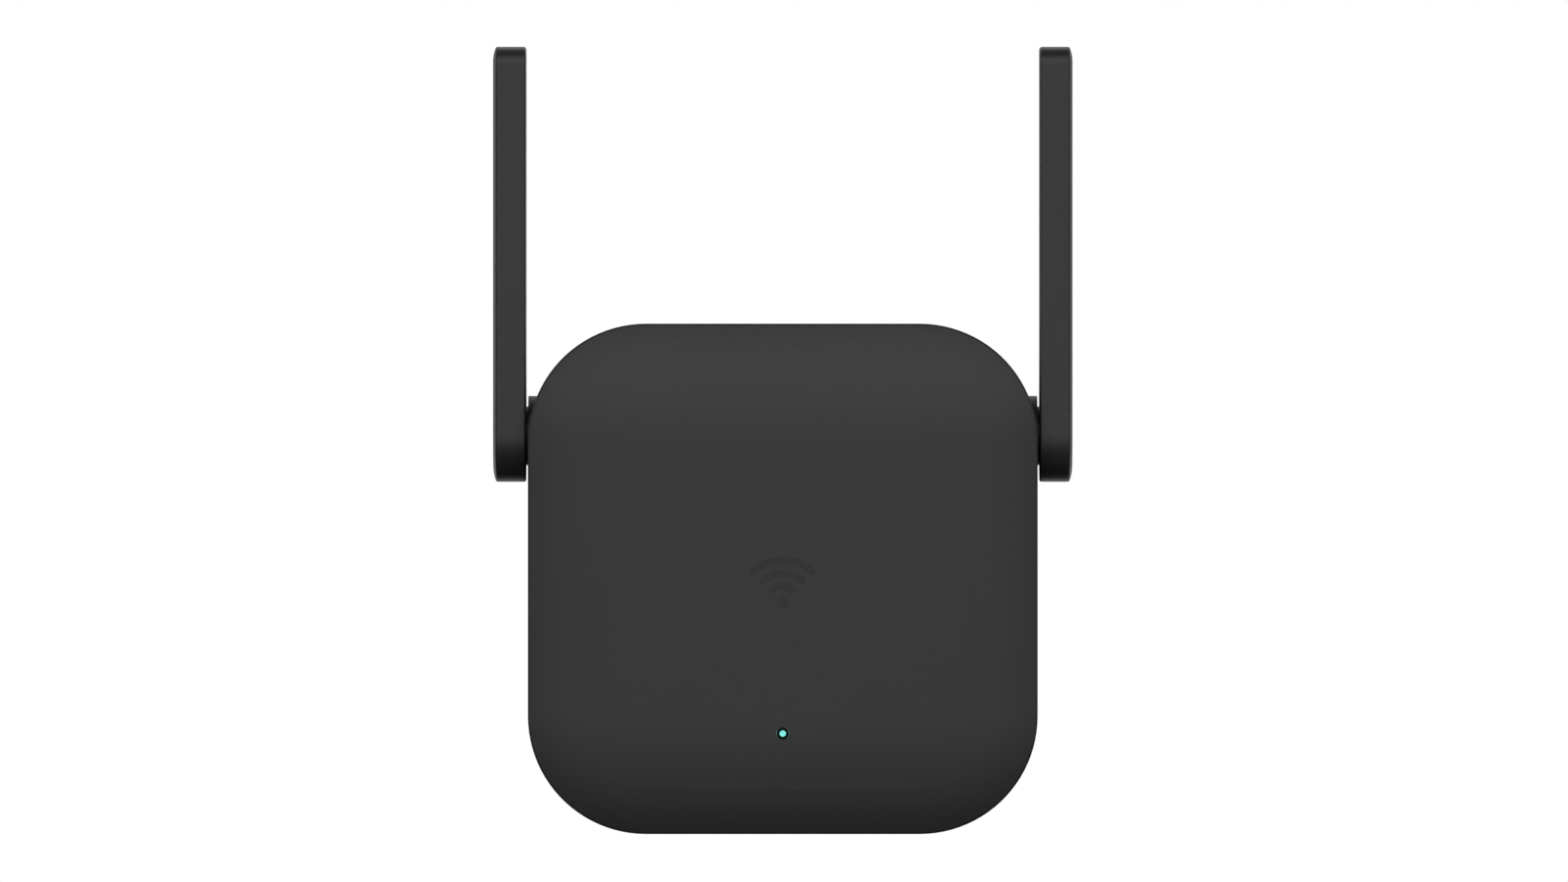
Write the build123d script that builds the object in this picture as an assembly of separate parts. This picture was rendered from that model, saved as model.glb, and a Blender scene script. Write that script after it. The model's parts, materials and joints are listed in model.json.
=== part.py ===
from build123d import *
import math
import os

# A plug-in wireless range extender with two folding side antennas.
# All sizes are in millimetres. X runs to the right of somebody facing the extender on its wall,
# Y runs into the wall and Z runs up. The origin is the middle of the plug's end face.

# Casing
body_width = 79.5
body_height = 79.6
body_depth = 24.0
corner_radius = 18.4
crown_edge_slope = 20.5  # of the front face at its edge, in degrees
crown_turn_slope = 9.0  # where its tighter outer curve meets the gentler inner one
crown_turn_inset = 7.0  # how far in from the side they meet
crown_flat_corner = 0.5  # corner radius of the flat middle of the front face
front_edge_radius = 0.5
rear_edge_radius = 3.0
rear_inside_radius = 1.0
side_wall = 2.0
front_wall = 2.0
rear_wall = 2.0
rear_rim = 7.0  # side height of the rear case, from the back to the seam
seam_bevel = 0.25
lip_height = 2.2
lip_thickness = 0.8
catch_length = 8.0
catch_height = 0.4
catch_width = 0.8
catch_root = 0.2  # how far a catch reaches into the lip that carries it
catch_from_middle = 11.0
side_catch_drop = 9.0  # below the middle, clear of the hinges
cutter_margin = 1.0  # how far a cutter runs past what it cuts
fit_gap = 0.1  # between fixed pieces that are slid together
seat_gap = 0.05  # between pieces that lie against each other
moulded_gap = 0.02  # between a piece and what is moulded round it

# Plug, to the two-pin 4 mm pattern
pedestal_width = 35.3
pedestal_height = 13.7
pedestal_depth = 17.0
pedestal_wall = 2.0
pedestal_end_wall = 3.0
pedestal_edge_radius = 1.0
flange_margin = 2.0
flange_thickness = 1.4
pin_spacing = 19.0
pin_radius = 2.0
pin_neck_radius = 1.5
pin_length = 19.0
pin_tip_radius = 1.5
pin_head_radius = 2.8
pin_head_thickness = 1.2
pin_tail_radius = 1.2
pin_tail_length = 4.0
sleeve_radius = 1.8
sleeve_length = 10.0
sleeve_seat = 2.0  # how far the sleeve is let into the plug's end wall
strip_thickness = 0.5
strip_width = 4.0
strip_tab = 5.0
strip_offset = 3.25  # from the pin's axis up to the middle of the strip's leaf
strip_reach = 0.6  # of the leaf, through the power board

# Antenna hinge
pivot_below_top = 17.5
pivot_from_front = 13.0
hinge_boss_radius = 6.25
hinge_boss_length = 6.25
hinge_rib_thickness = 1.6
stub_radius = 3.5
stub_bore_radius = 1.6
stub_length = 9.9
running_gap = 0.08
collar_radius = 4.6
washer_thickness = 0.5
washer_radius = 5.2
washer_gap = 0.16  # round the stub, which turns in it
stop_ring_thickness = 1.1
stop_lug_width = 24.0  # degrees
stop_slack = 1.5  # degrees left between lug and stop at each end of the swing
stop_wall = 0.9
swing = 180.0
stub_flat = 3.0  # half the distance across the stub's two flats
stop_ring_slack = 0.3  # between the ring and the boss's end stop
clip_thickness = 0.5
clip_radius = 4.8
clip_groove_depth = 0.6
clip_mouth = 70.0  # degrees

# Antenna arm
arm_gap = 0.35  # clear of the body's side
arm_thickness = 5.15
arm_radius = 7.2  # half the arm's width, and the radius of its lower end
arm_reach = 60.75  # pivot to tip
arm_corner = 2.6
arm_wall = 1.2
arm_crown_inset = 2.3
arm_crown_drop = 0.5
arm_edge_radius = 0.35
arm_ledge = 0.6
arm_lid_thickness = 1.2
antenna_board_width = 9.5
antenna_board_length = 46.0
antenna_board_thickness = 0.8
antenna_board_corner = 0.8
antenna_board_start = 11.0  # above the pivot
antenna_board_lift = 0.5  # off the lid, on pads
antenna_pad_radius = 0.9
copper_thickness = 0.1
copper_margin = 1.0  # bare laminate round the copper
copper_feed_gap = 0.8
copper_leg_width = 2.0
copper_tail_width = 1.4
copper_tail_length = 12.0
lead_radius = 0.565
lead_bend = 2.2
lead_groove_gap = 0.1
lead_clear = 4.6  # straight out of the hinge stub before the lead turns
lead_drop = 5.8  # how far it then falls on its way to the board
lead_body_bend = 3.6
lead_joint_depth = 4.0  # where the arm's lead meets the body's lead, inside the body's side

# Boards
board_thickness = 1.6
logic_board_thickness = 1.2
logic_board_depth = 6.8  # from the front face to the logic board's front
logic_board_height = 62.0
logic_board_drop = 3.0  # the logic board's middle lies this far below the body's
power_board_height = 56.0
power_board_lift = 4.0
logic_board_side_gap = 3.2  # from the hinge stub's end to the logic board
power_board_side_gap = 6.2
board_corner = 3.0
board_hole_gap = 0.1
solder_reach = 0.8  # of a leg or pin behind its board
power_post_height = 2.6
post_radius = 2.5
post_skin = 0.8  # left below a screw's pilot hole
post_root = 1.5  # below the front face's middle, inside the front wall wherever its curve lies
screw_radius = 0.8
screw_head_radius = 1.9
screw_head_height = 1.2
screw_head_edge = 0.5
screw_cross_length = 2.2
screw_cross_width = 0.5
screw_cross_depth = 0.7
screw_bite = 4.3  # how far a screw reaches below its head
logic_screw_inset = 5.0  # from the board's side edge
logic_screw_rise = 27.0, -24.0  # from the logic board's middle
power_screw_inset = 3.5
power_screw_rise = 24.0, -25.0  # from the power board's middle

# On the logic board
shield_width = 24.0
shield_height = 20.0
shield_depth = 2.2
shield_skirt_lift = 0.6  # from the board to the lid's edge
shield_z = 6.0
shield_sheet = 0.2
chip_x = -3.0
chip_size = 10.0, 10.0, 0.9
chip_edge = 0.15
thermal_pad_size = 9.0
small_chip_edge = 0.08
flash_chip_place = 17.5, -2.0
flash_chip_size = 5.0, 4.0, 1.5
crystal_x = 8.5
crystal_rise = 5.0  # above the shield's middle
crystal_size = 3.2, 2.5, 0.8
chip_capacitor_size = 0.8, 1.4, 0.6
chip_resistor_size = 1.6, 0.8, 0.45
capacitor_column = 6.0, 1.9, 5  # x, pitch and count, down from the shield's middle
capacitor_row = -10.0, -7.5, 2.6, 8  # first x, z, pitch and count
resistor_columns = (16.0, 8.0, 1.6, 6), (-16.5, -8.0, 1.8, 7)  # x, first z, pitch and count
jack_inset = 3.0  # from the board's side edge
jack_z = 10.0
jack_size = 2.6
jack_base = 0.6
jack_radius = 0.9
jack_height = 1.3
lead_plug_radius = 1.5
lead_plug_cap = 0.4
lead_plug_skin = 0.3
lead_plug_neck = 0.5
lead_plug_crimp = 0.15
lead_plug_length = 3.2
header_z = -21.5
header_pitch = 2.54
header_count = 4
header_base = 2.5
header_pin_width = 0.64
header_hole_radius = 0.55
insulating_sheet_height = 40.0
insulating_sheet_thickness = 0.2

# On the power board
wire_radius = 0.3
leg_root = 0.5  # of a bent leg inside its part
leg_bend = 1.2  # from the part's end to where the leg turns
capacitor_radius = 4.0
capacitor_length = 11.5
capacitor_edge = 0.5
capacitor_crimp_inset = 1.6
capacitor_crimp_depth = 0.4
capacitor_leg_pitch = 3.5
input_capacitor_x = 4.0, 13.2
input_capacitor_z = 10.0
output_capacitor_x = -14.2
output_capacitor_z = -19.5
fuse_x = -17.0
fuse_z = 6.5
fuse_length = 8.0
fuse_radius = 1.5
disc_x = -7.5
disc_z = -8.0
disc_radius = 3.6
disc_thickness = 2.6
disc_lift = 0.8
disc_edge = 0.9
disc_leg_pitch = 5.0
transformer_x = 3.0
transformer_z = -8.5
transformer_pin_pitch = 3.0
transformer_pin_rise = 5.4  # of each row of pins from the middle
core_width = 13.0
core_height = 12.0
core_depth = 5.4
core_leg = 3.4
core_window = 2.8
core_back = 2.0
bobbin_width = 8.8
bobbin_depth = 9.0
bobbin_wall = 0.5
bobbin_rail = 1.5
winding_inset = 0.4
winding_corner = 1.2
chokes = (-8.5, 20.0, 3.2, 7.5), (16.0, -14.0, 3.2, 5.5)  # x, z, radius, height
choke_waist = 0.72  # share of the radius
choke_flange = 0.9
choke_coil_inset = 0.25
bridge_place = -8.0, 9.5
bridge_size = 5.0, 6.5, 2.4
diode_place = 16.0, -5.0
diode_size = 4.6, 3.8, 2.3
power_chip_place = -17.5, 22.0
power_chip_size = 4.0, 5.0, 1.5

# Light and reset
light_below_middle = 24.1
light_hole_radius = 0.98
light_tip_radius = 0.48
light_sleeve_radius = 0.96
light_pipe_radius = 1.5
light_flange_radius = 2.2
light_flange_thickness = 0.6
light_guide_wall = 1.1
light_guide_gap = 1.8  # from the guide's end to the logic board
light_recess = 0.15  # the light's tip lies this far below the front face
light_tip_edge = 0.15
led_size = 1.6, 1.0, 0.35
led_lens = 0.8
led_height = 0.8
reset_x = 12.0
reset_hole_radius = 0.8
reset_pad_radius = 1.8
reset_travel = 0.3
reset_stop_gap = 0.1  # left below the plunger at the end of its travel
reset_plunger_radius = 0.75
reset_plunger_reach = 1.4  # out of the switch
reset_plunger_edge = 0.2
reset_well = 1.2
reset_switch_width = 6.0
reset_switch_height = 3.5
reset_switch_thickness = 3.0

# Back of the case
label_width = 34.0
label_height = 12.0
label_below_middle = 18.5
label_corner = 1.0
label_recess = 0.2
label_thickness = 0.15
vent_count = 7
vent_pitch = 4.0
vent_width = 1.4
vent_height = 7.0
vent_from_middle = 31.0

# Places that follow from the sizes above
crown_inset = corner_radius - crown_flat_corner
crown_edge_sine = math.sin(math.radians(crown_edge_slope))
crown_turn_sine = math.sin(math.radians(crown_turn_slope))
crown_radius = (crown_inset - crown_turn_inset) / crown_turn_sine
crown_edge_radius = crown_turn_inset / (crown_edge_sine - crown_turn_sine)
side_x = body_width / 2
top_z = body_height / 2
back_y = -pedestal_depth
front_y = back_y - body_depth
seam_y = back_y - rear_rim
back_inside_y = back_y - rear_wall
pivot_y = front_y + pivot_from_front
pivot_z = top_z - pivot_below_top
boss_end_x = side_x - hinge_boss_length
arm_x = side_x + arm_gap
antenna_board_x = arm_x + arm_lid_thickness + antenna_board_lift
antenna_copper_x = antenna_board_x + antenna_board_thickness
antenna_board_end = antenna_board_start + antenna_board_length
antenna_feed = (antenna_board_start + antenna_board_end) / 2
arm_lead_x = antenna_board_x - seat_gap - lead_radius
stub_end_x = arm_x - stub_length
washer_end_x = boss_end_x - seat_gap - washer_thickness
stop_ring_x = washer_end_x - seat_gap
stop_ring_end_x = stop_ring_x - stop_ring_thickness
clip_x = stop_ring_end_x - seat_gap
logic_front_y = front_y + logic_board_depth
logic_back_y = logic_front_y + logic_board_thickness
logic_half_width = stub_end_x - logic_board_side_gap
logic_bottom_z = -logic_board_height / 2 - logic_board_drop
logic_screw_x = logic_half_width - logic_screw_inset
power_back_y = back_inside_y - power_post_height
power_front_y = power_back_y - board_thickness
power_half_width = stub_end_x - power_board_side_gap
power_screw_x = power_half_width - power_screw_inset
shield_skirt_y = logic_front_y - shield_skirt_lift
jack_x = logic_half_width - jack_inset
lead_plug_y = logic_back_y + (jack_base + jack_height + lead_plug_cap) / 2
light_z = -light_below_middle
light_guide_y = logic_front_y - light_guide_gap
reset_y = logic_back_y + reset_switch_thickness / 2
pin_x = pin_spacing / 2

along_x = Vector(1, 0, 0)
along_y = Vector(0, 1, 0)


# Building blocks
def block(x_from, x_to, y_from, y_to, z_from, z_to):
    middle = Pos((x_from + x_to) / 2, (y_from + y_to) / 2, (z_from + z_to) / 2)
    return middle * Box(abs(x_to - x_from), abs(y_to - y_from), abs(z_to - z_from))


def slab(outline, y_from, y_to):
    """Extrudes an outline drawn in X and Z between two depths."""
    face = Plane((0, y_from, 0), x_dir=(1, 0, 0), z_dir=(0, -1, 0)) * outline
    return extrude(face, amount=y_to - y_from, dir=(0, 1, 0))


def bar(outline, x_from, x_to):
    """Extrudes an outline drawn in Y and Z between two widths."""
    face = Plane((x_from, 0, 0), x_dir=(0, 1, 0), z_dir=(1, 0, 0)) * outline
    return extrude(face, amount=x_to - x_from, dir=(1, 0, 0))


def rod_x(y, z, radius, x_from, x_to):
    return bar(Pos(y, z) * Circle(radius), x_from, x_to)


def rod_y(x, z, radius, y_from, y_to):
    return slab(Pos(x, z) * Circle(radius), y_from, y_to)


def rod_z(x, y, radius, z_from, z_to):
    return extrude(Pos(x, y, z_from) * Circle(radius), amount=z_to - z_from, dir=(0, 0, 1))


def sector(inner, outer, middle_angle, span):
    """A piece of a flat ring, with its angles in degrees from the first axis."""
    start = middle_angle - span / 2
    outside = CenterArc((0, 0), outer, start, span)
    inside = CenterArc((0, 0), inner, start, span)
    return make_face(
        outside
        + inside
        + Line(outside @ 0, inside @ 0)
        + Line(outside @ 1, inside @ 1)
    )


def carry_round(outline, section, depth_axis):
    """Carries a section round a convex outline of lines and tangent arcs.

    The section's first axis points in from the outline, and its second along depth_axis.
    """
    middle = outline.center()
    ring = None
    for edge in outline.wire().edges():
        start, along = edge @ 0, edge % 0
        inward = depth_axis.cross(along)
        if inward.dot(middle - start) < 0:
            inward = -inward
        placed = Plane(start, x_dir=inward, z_dir=inward.cross(depth_axis)) * section
        if edge.geom_type == GeomType.LINE:
            piece = extrude(placed, amount=edge.length, dir=along)
        else:
            turn = Axis(edge.arc_center, (start - edge.arc_center).cross(along))
            piece = revolve(placed, turn, math.degrees(edge.length / edge.radius))
        ring = piece if ring is None else ring + piece
    return ring


def group(pieces):
    """Keeps separate solids together as one named piece."""
    return Compound(children=[solid for piece in pieces for solid in piece.solids()])


def both_sides(piece):
    return [piece, mirror(piece, about=Plane.YZ)]


def screw(x, z, seat_y, facing):
    """A pan-head cross screw along Y. facing is +1 where its head lies on the wall's side."""
    head = rod_y(x, z, screw_head_radius, seat_y, seat_y + facing * screw_head_height)
    crown = head.edges().sort_by(Axis.Y)[-1 if facing > 0 else 0]
    head = fillet(crown, screw_head_edge)
    shank = rod_y(x, z, screw_radius, seat_y, seat_y - facing * screw_bite)
    top_y = seat_y + facing * screw_head_height
    floor_y = top_y - facing * screw_cross_depth
    long, short = screw_cross_length / 2, screw_cross_width / 2
    across = block(x - long, x + long, top_y, floor_y, z - short, z + short)
    upright = block(x - short, x + short, top_y, floor_y, z - long, z + long)
    return head + shank - across - upright


# Casing
def body_outline():
    rectangle = RectangleRounded(body_width, body_height, corner_radius)
    return (Plane((0, 0, 0), x_dir=(1, 0, 0), z_dir=(0, -1, 0)) * rectangle).face()


def crown_point(slope, wall):
    """Inset and depth where the front face, or the inside of a wall behind it, has a slope."""
    turn = math.radians(min(slope, crown_turn_slope))
    steep = math.radians(max(slope, crown_turn_slope))
    gentle_run = crown_radius - (wall if slope <= crown_turn_slope else crown_edge_radius)
    inset = crown_inset - gentle_run * math.sin(turn)
    y = front_y + crown_radius - gentle_run * math.cos(turn)
    if slope <= crown_turn_slope:
        return inset, y
    edge_run = crown_edge_radius - wall
    return inset - edge_run * math.sin(steep), y - edge_run * math.cos(steep)


def crown_curve(edge_slope, wall):
    """The front face's curve, from its flat middle out to where it has the edge's slope."""
    slopes = 0, crown_turn_slope / 2, crown_turn_slope
    gentle = ThreePointArc(*[crown_point(slope, wall) for slope in slopes])
    slopes = crown_turn_slope, (crown_turn_slope + edge_slope) / 2, edge_slope
    return gentle + ThreePointArc(*[crown_point(slope, wall) for slope in slopes])


def middle_plate(y_from, y_to):
    width = body_width - 2 * crown_inset
    height = body_height - 2 * crown_inset
    return slab(RectangleRounded(width, height, crown_flat_corner), y_from, y_to)


def front_section():
    outer_wall = side_wall - lip_thickness - fit_gap
    shoulder_y = seam_y - lip_height
    outside = crown_curve(crown_edge_slope, 0)
    turn_centre = crown_inset - (crown_radius - crown_edge_radius) * crown_turn_sine
    inner_sine = (turn_centre - side_wall) / (crown_edge_radius - front_wall)
    inside = crown_curve(math.degrees(math.asin(inner_sine)), front_wall)
    edge, inner_edge = outside @ 1, inside @ 1
    side = Polyline(
        edge,
        (0, seam_y - seam_bevel),
        (seam_bevel, seam_y),
        (outer_wall, seam_y),
        (outer_wall, shoulder_y),
        (side_wall, shoulder_y),
        inner_edge,
    )
    face = make_face(outside + side + inside + Line(inside @ 0, outside @ 0))
    corner = face.vertices().sort_by_distance(edge)[0]
    return fillet(corner, front_edge_radius)


def rear_section():
    lip_y = seam_y - lip_height + fit_gap
    back_corner = (0, back_y)
    inside_corner = (side_wall, back_inside_y)
    outline = Polyline(
        (0, seam_y + seam_bevel),
        back_corner,
        (crown_inset, back_y),
        (crown_inset, back_inside_y),
        inside_corner,
        (side_wall, lip_y),
        (side_wall - lip_thickness, lip_y),
        (side_wall - lip_thickness, seam_y),
        (seam_bevel, seam_y),
        close=True,
    )
    face = make_face(outline)
    face = fillet(face.vertices().sort_by_distance(back_corner)[0], rear_edge_radius)
    return fillet(face.vertices().sort_by_distance(inside_corner)[0], rear_inside_radius)


def hinge_window(radius):
    """The round-nosed gap in the side that holds the hinge boss, open towards the back."""
    nose = Pos(pivot_y, pivot_z) * Circle(radius)
    back = Pos((pivot_y + seam_y) / 2, pivot_z) * Rectangle(seam_y - pivot_y, 2 * radius)
    return bar(nose + back, boss_end_x, side_x + cutter_margin)


def catch_places():
    """Middles of the snap catches along the sides, as x, z and whether they run along X."""
    across = (-catch_from_middle, catch_from_middle)
    places = [(x, z, True) for x in across for z in (-top_z, top_z)]
    return places + [(x, -side_catch_drop, False) for x in (-side_x, side_x)]


def catches(gap):
    """Small ridges on the lip of the rear case, or with a gap round them the pockets for them."""
    lip_face = side_wall - lip_thickness
    middle_y = seam_y - lip_height / 2
    half_width = catch_width / 2 + gap
    half_length = catch_length / 2 + gap
    ridges = None
    for x, z, runs_along_x in catch_places():
        reach = side_x if not runs_along_x else top_z
        outer = reach - lip_face + catch_height + gap
        inner = reach - lip_face - catch_root
        side = math.copysign(1, z if runs_along_x else x)
        depths = middle_y - half_width, middle_y + half_width
        if runs_along_x:
            ridge = block(x - half_length, x + half_length, *depths, side * inner, side * outer)
        else:
            ridge = block(side * inner, side * outer, *depths, z - half_length, z + half_length)
        ridges = ridge if ridges is None else ridges + ridge
    return ridges


def logic_screw_places():
    heights = [rise - logic_board_drop for rise in logic_screw_rise]
    return [(x, z) for x in (-logic_screw_x, logic_screw_x) for z in heights]


def power_screw_places():
    heights = [rise + power_board_lift for rise in power_screw_rise]
    return [(x, z) for x in (-power_screw_x, power_screw_x) for z in heights]


def front_cover():
    cover = carry_round(body_outline(), front_section(), along_y)
    cover += middle_plate(front_y, front_y + front_wall)
    for hinge in both_sides(hinge_window(hinge_boss_radius + fit_gap)):
        cover -= hinge
    cover -= catches(fit_gap)
    root_y = front_y + post_root
    pilot = screw_radius + seat_gap
    for x, z in logic_screw_places():
        cover += rod_y(x, z, post_radius, root_y, logic_front_y)
        cover -= rod_y(x, z, pilot, logic_front_y, front_y + front_wall + post_skin)
    cover += rod_y(0, light_z, light_pipe_radius + light_guide_wall, root_y, light_guide_y)
    pipe_bore = light_pipe_radius + seat_gap
    cover -= rod_y(0, light_z, pipe_bore, front_y + front_wall + seat_gap, light_guide_y)
    through_y = front_y + front_wall + cutter_margin
    cover -= rod_y(0, light_z, light_hole_radius, front_y - cutter_margin, through_y)
    pad_z = -top_z + side_wall / 2, -top_z + side_wall + reset_pad_radius
    cover += rod_z(reset_x, reset_y, reset_pad_radius, *pad_z)
    hole_z = -top_z - cutter_margin, pad_z[1] + cutter_margin
    return cover - rod_z(reset_x, reset_y, reset_hole_radius, *hole_z)


def hinge_boss():
    """The right-hand boss, with the tongue that closes the cover's window and its end stop."""
    wall = Pos(side_wall / 2, (pivot_y + seam_y - hinge_boss_radius) / 2)
    wall *= Rectangle(side_wall, seam_y - pivot_y + hinge_boss_radius)
    tongue = carry_round(body_outline(), wall, along_y) & hinge_window(hinge_boss_radius)
    boss = tongue + rod_x(pivot_y, pivot_z, hinge_boss_radius, boss_end_x, side_x)
    boss += block(
        boss_end_x, side_x - side_wall / 2,
        pivot_y, back_inside_y + rear_wall / 2,
        pivot_z - hinge_rib_thickness / 2, pivot_z + hinge_rib_thickness / 2,
    )
    stop_span = 360 - swing - stop_lug_width - 2 * stop_slack
    stop = sector(hinge_boss_radius - stop_wall, hinge_boss_radius, 0, stop_span)
    return boss + bar(Pos(pivot_y, pivot_z) * stop, stop_ring_end_x, boss_end_x)


def hinge_bore():
    ends = boss_end_x - cutter_margin, side_x + cutter_margin
    return rod_x(pivot_y, pivot_z, stub_radius + running_gap, *ends)


def pedestal_outline(margin):
    circle = Circle(pedestal_width / 2 + margin)
    return circle & Rectangle(pedestal_width + 2 * margin, pedestal_height + 2 * margin)


def rear_case():
    case = carry_round(body_outline(), rear_section(), along_y)
    case += middle_plate(back_inside_y, back_y)
    case += catches(0)
    for boss in both_sides(hinge_boss()):
        case += boss
    for bore in both_sides(hinge_bore()):
        case -= bore
    for x, z in power_screw_places():
        case += rod_y(x, z, post_radius, power_back_y, back_inside_y + rear_wall / 2)
        case -= rod_y(x, z, screw_radius + seat_gap, power_back_y, back_y - post_skin)
    past_wall = back_inside_y - cutter_margin, back_y + cutter_margin
    case -= slab(pedestal_outline(fit_gap), *past_wall)
    label = RectangleRounded(label_width, label_height, label_corner)
    case -= slab(Pos(0, -label_below_middle) * label, back_y - label_recess, past_wall[1])
    vent = SlotOverall(vent_height, vent_width, rotation=90)
    for row_z in (-vent_from_middle, vent_from_middle):
        for n in range(vent_count):
            place = Pos((n - (vent_count - 1) / 2) * vent_pitch, row_z)
            case -= slab(place * vent, *past_wall)
    return case


def rating_label():
    size = label_width - 2 * fit_gap, label_height - 2 * fit_gap
    outline = RectangleRounded(*size, label_corner - fit_gap)
    label_y = back_y - label_recess
    return slab(Pos(0, -label_below_middle) * outline, label_y, label_y + label_thickness)


# Plug
def plug_carrier():
    carrier = slab(pedestal_outline(0), back_inside_y, 0)
    rim = carrier.faces().sort_by(Axis.Y)[-1].edges()
    carrier = fillet(rim, pedestal_edge_radius)
    flange_y = back_inside_y - flange_thickness
    carrier += slab(pedestal_outline(flange_margin), flange_y, back_inside_y)
    carrier -= slab(pedestal_outline(-pedestal_wall), flange_y, -pedestal_end_wall)
    for x in (-pin_x, pin_x):
        through = -pedestal_end_wall - cutter_margin, cutter_margin
        carrier -= rod_y(x, 0, pin_neck_radius + seat_gap, *through)
        carrier -= rod_y(x, 0, sleeve_radius + moulded_gap, -sleeve_seat, cutter_margin)
    return carrier


def plug_pins():
    pins = []
    for x in (-pin_x, pin_x):
        contact = rod_y(x, 0, pin_radius, sleeve_length, pin_length)
        contact = fillet(contact.edges().sort_by(Axis.Y)[-1], pin_tip_radius)
        head_y = -pedestal_end_wall - seat_gap
        neck = rod_y(x, 0, pin_neck_radius, head_y, sleeve_length)
        head = rod_y(x, 0, pin_head_radius, head_y - pin_head_thickness, head_y)
        tail_y = head_y - pin_head_thickness
        tail = rod_y(x, 0, pin_tail_radius, tail_y - pin_tail_length, tail_y)
        pins.append(contact + neck + head + tail)
    return group(pins)


def pin_sleeves():
    sleeves = []
    for x in (-pin_x, pin_x):
        tube = rod_y(x, 0, sleeve_radius, -sleeve_seat, sleeve_length)
        bore = rod_y(x, 0, pin_neck_radius + moulded_gap, -sleeve_seat, sleeve_length)
        sleeves.append(tube - bore)
    return group(sleeves)


def contact_strips():
    strips = []
    tab_y = -pedestal_end_wall - pin_head_thickness - 2 * seat_gap
    for x in (-pin_x, pin_x):
        leaf_z = strip_offset - strip_thickness / 2, strip_offset + strip_thickness / 2
        tab = block(
            x - strip_tab / 2, x + strip_tab / 2,
            tab_y - strip_thickness, tab_y,
            -strip_tab / 2, leaf_z[1],
        )
        past_tab = tab_y - cutter_margin, tab_y + cutter_margin
        tab -= rod_y(x, 0, pin_tail_radius + seat_gap, *past_tab)
        leaf = block(
            x - strip_width / 2, x + strip_width / 2,
            power_front_y - strip_reach, tab_y,
            *leaf_z,
        )
        strips.append(tab + leaf)
    return group(strips)


# Antennas: each piece is made for the right-hand side and mirrored for the left
def arm_outline(inset):
    radius = arm_radius - inset
    reach = arm_reach - inset
    face = Circle(radius) + Pos(0, reach / 2) * Rectangle(2 * radius, reach)
    tips = face.vertices().sort_by(Axis.Y)[-2:]
    face = fillet(tips, arm_corner - inset)
    return Plane((arm_x, pivot_y, pivot_z), x_dir=(0, 1, 0), z_dir=(1, 0, 0)) * face


def arm_section():
    radius = (arm_crown_inset**2 + arm_crown_drop**2) / (2 * arm_crown_drop)
    crest = (arm_crown_inset, arm_thickness)
    edge = (0, arm_thickness - arm_crown_drop)
    half = arm_crown_inset / 2
    half_drop = radius - math.sqrt(radius**2 - half**2)
    crown = ThreePointArc(crest, (half, arm_thickness - half_drop), edge)
    inner_edge = (0, 0)
    walls = Polyline(
        edge,
        inner_edge,
        (arm_wall, 0),
        (arm_wall, arm_lid_thickness + seat_gap),
        (arm_wall + arm_ledge, arm_lid_thickness + seat_gap),
        (arm_wall + arm_ledge, arm_thickness - arm_wall),
        (arm_crown_inset, arm_thickness - arm_wall),
        crest,
    )
    face = make_face(crown + walls)
    corners = [face.vertices().sort_by_distance(p)[0] for p in (edge, inner_edge)]
    return fillet(corners, arm_edge_radius)


def antenna_shell():
    shell = carry_round(arm_outline(0).face(), arm_section(), along_x)
    plate = extrude(arm_outline(arm_crown_inset), amount=arm_wall, dir=(1, 0, 0))
    return shell + Pos(arm_thickness - arm_wall, 0, 0) * plate


def antenna_lid():
    lid = extrude(arm_outline(arm_wall + seat_gap), amount=arm_lid_thickness, dir=(1, 0, 0))
    lid += rod_x(pivot_y, pivot_z, collar_radius, side_x + seat_gap, arm_x)
    stub = rod_x(pivot_y, pivot_z, stub_radius, stub_end_x, arm_x)
    groove = Circle(stub_radius + cutter_margin) - Circle(stub_radius - clip_groove_depth)
    stub -= bar(Pos(pivot_y, pivot_z) * groove, clip_x - clip_thickness - seat_gap, clip_x)
    past_stub = stub_radius + cutter_margin
    for side in (-1, 1):
        stub -= block(
            stub_end_x - cutter_margin, washer_end_x,
            pivot_y - past_stub, pivot_y + past_stub,
            pivot_z + side * stub_flat, pivot_z + side * past_stub,
        )
    lid += stub
    pad_inset = 3 * antenna_pad_radius
    pad_rows = antenna_board_start + pad_inset, antenna_board_end - pad_inset
    for z in pad_rows:
        for side in (-1, 1):
            y = pivot_y + side * (antenna_board_width / 2 - pad_inset / 2)
            root_x = arm_x + arm_lid_thickness / 2
            lid += rod_x(y, pivot_z + z, antenna_pad_radius, root_x, antenna_board_x - seat_gap)
    past_lid = arm_x + arm_lid_thickness + cutter_margin
    lid -= rod_x(pivot_y, pivot_z, stub_bore_radius, stub_end_x - cutter_margin, past_lid)
    half_groove = lead_radius + lead_groove_gap
    groove_x = arm_lead_x - half_groove
    lid -= block(
        groove_x, past_lid,
        pivot_y - half_groove, pivot_y + half_groove,
        pivot_z, pivot_z + antenna_feed + half_groove,
    )
    return lid - block(
        groove_x - lead_bend / 2, past_lid,
        pivot_y - half_groove, pivot_y + half_groove,
        pivot_z, pivot_z + lead_bend + lead_groove_gap,
    )


def antenna_board():
    middle = Pos(pivot_y, pivot_z + antenna_feed)
    size = antenna_board_width, antenna_board_length
    outline = RectangleRounded(*size, antenna_board_corner)
    return bar(middle * outline, antenna_board_x, antenna_copper_x)


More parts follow.
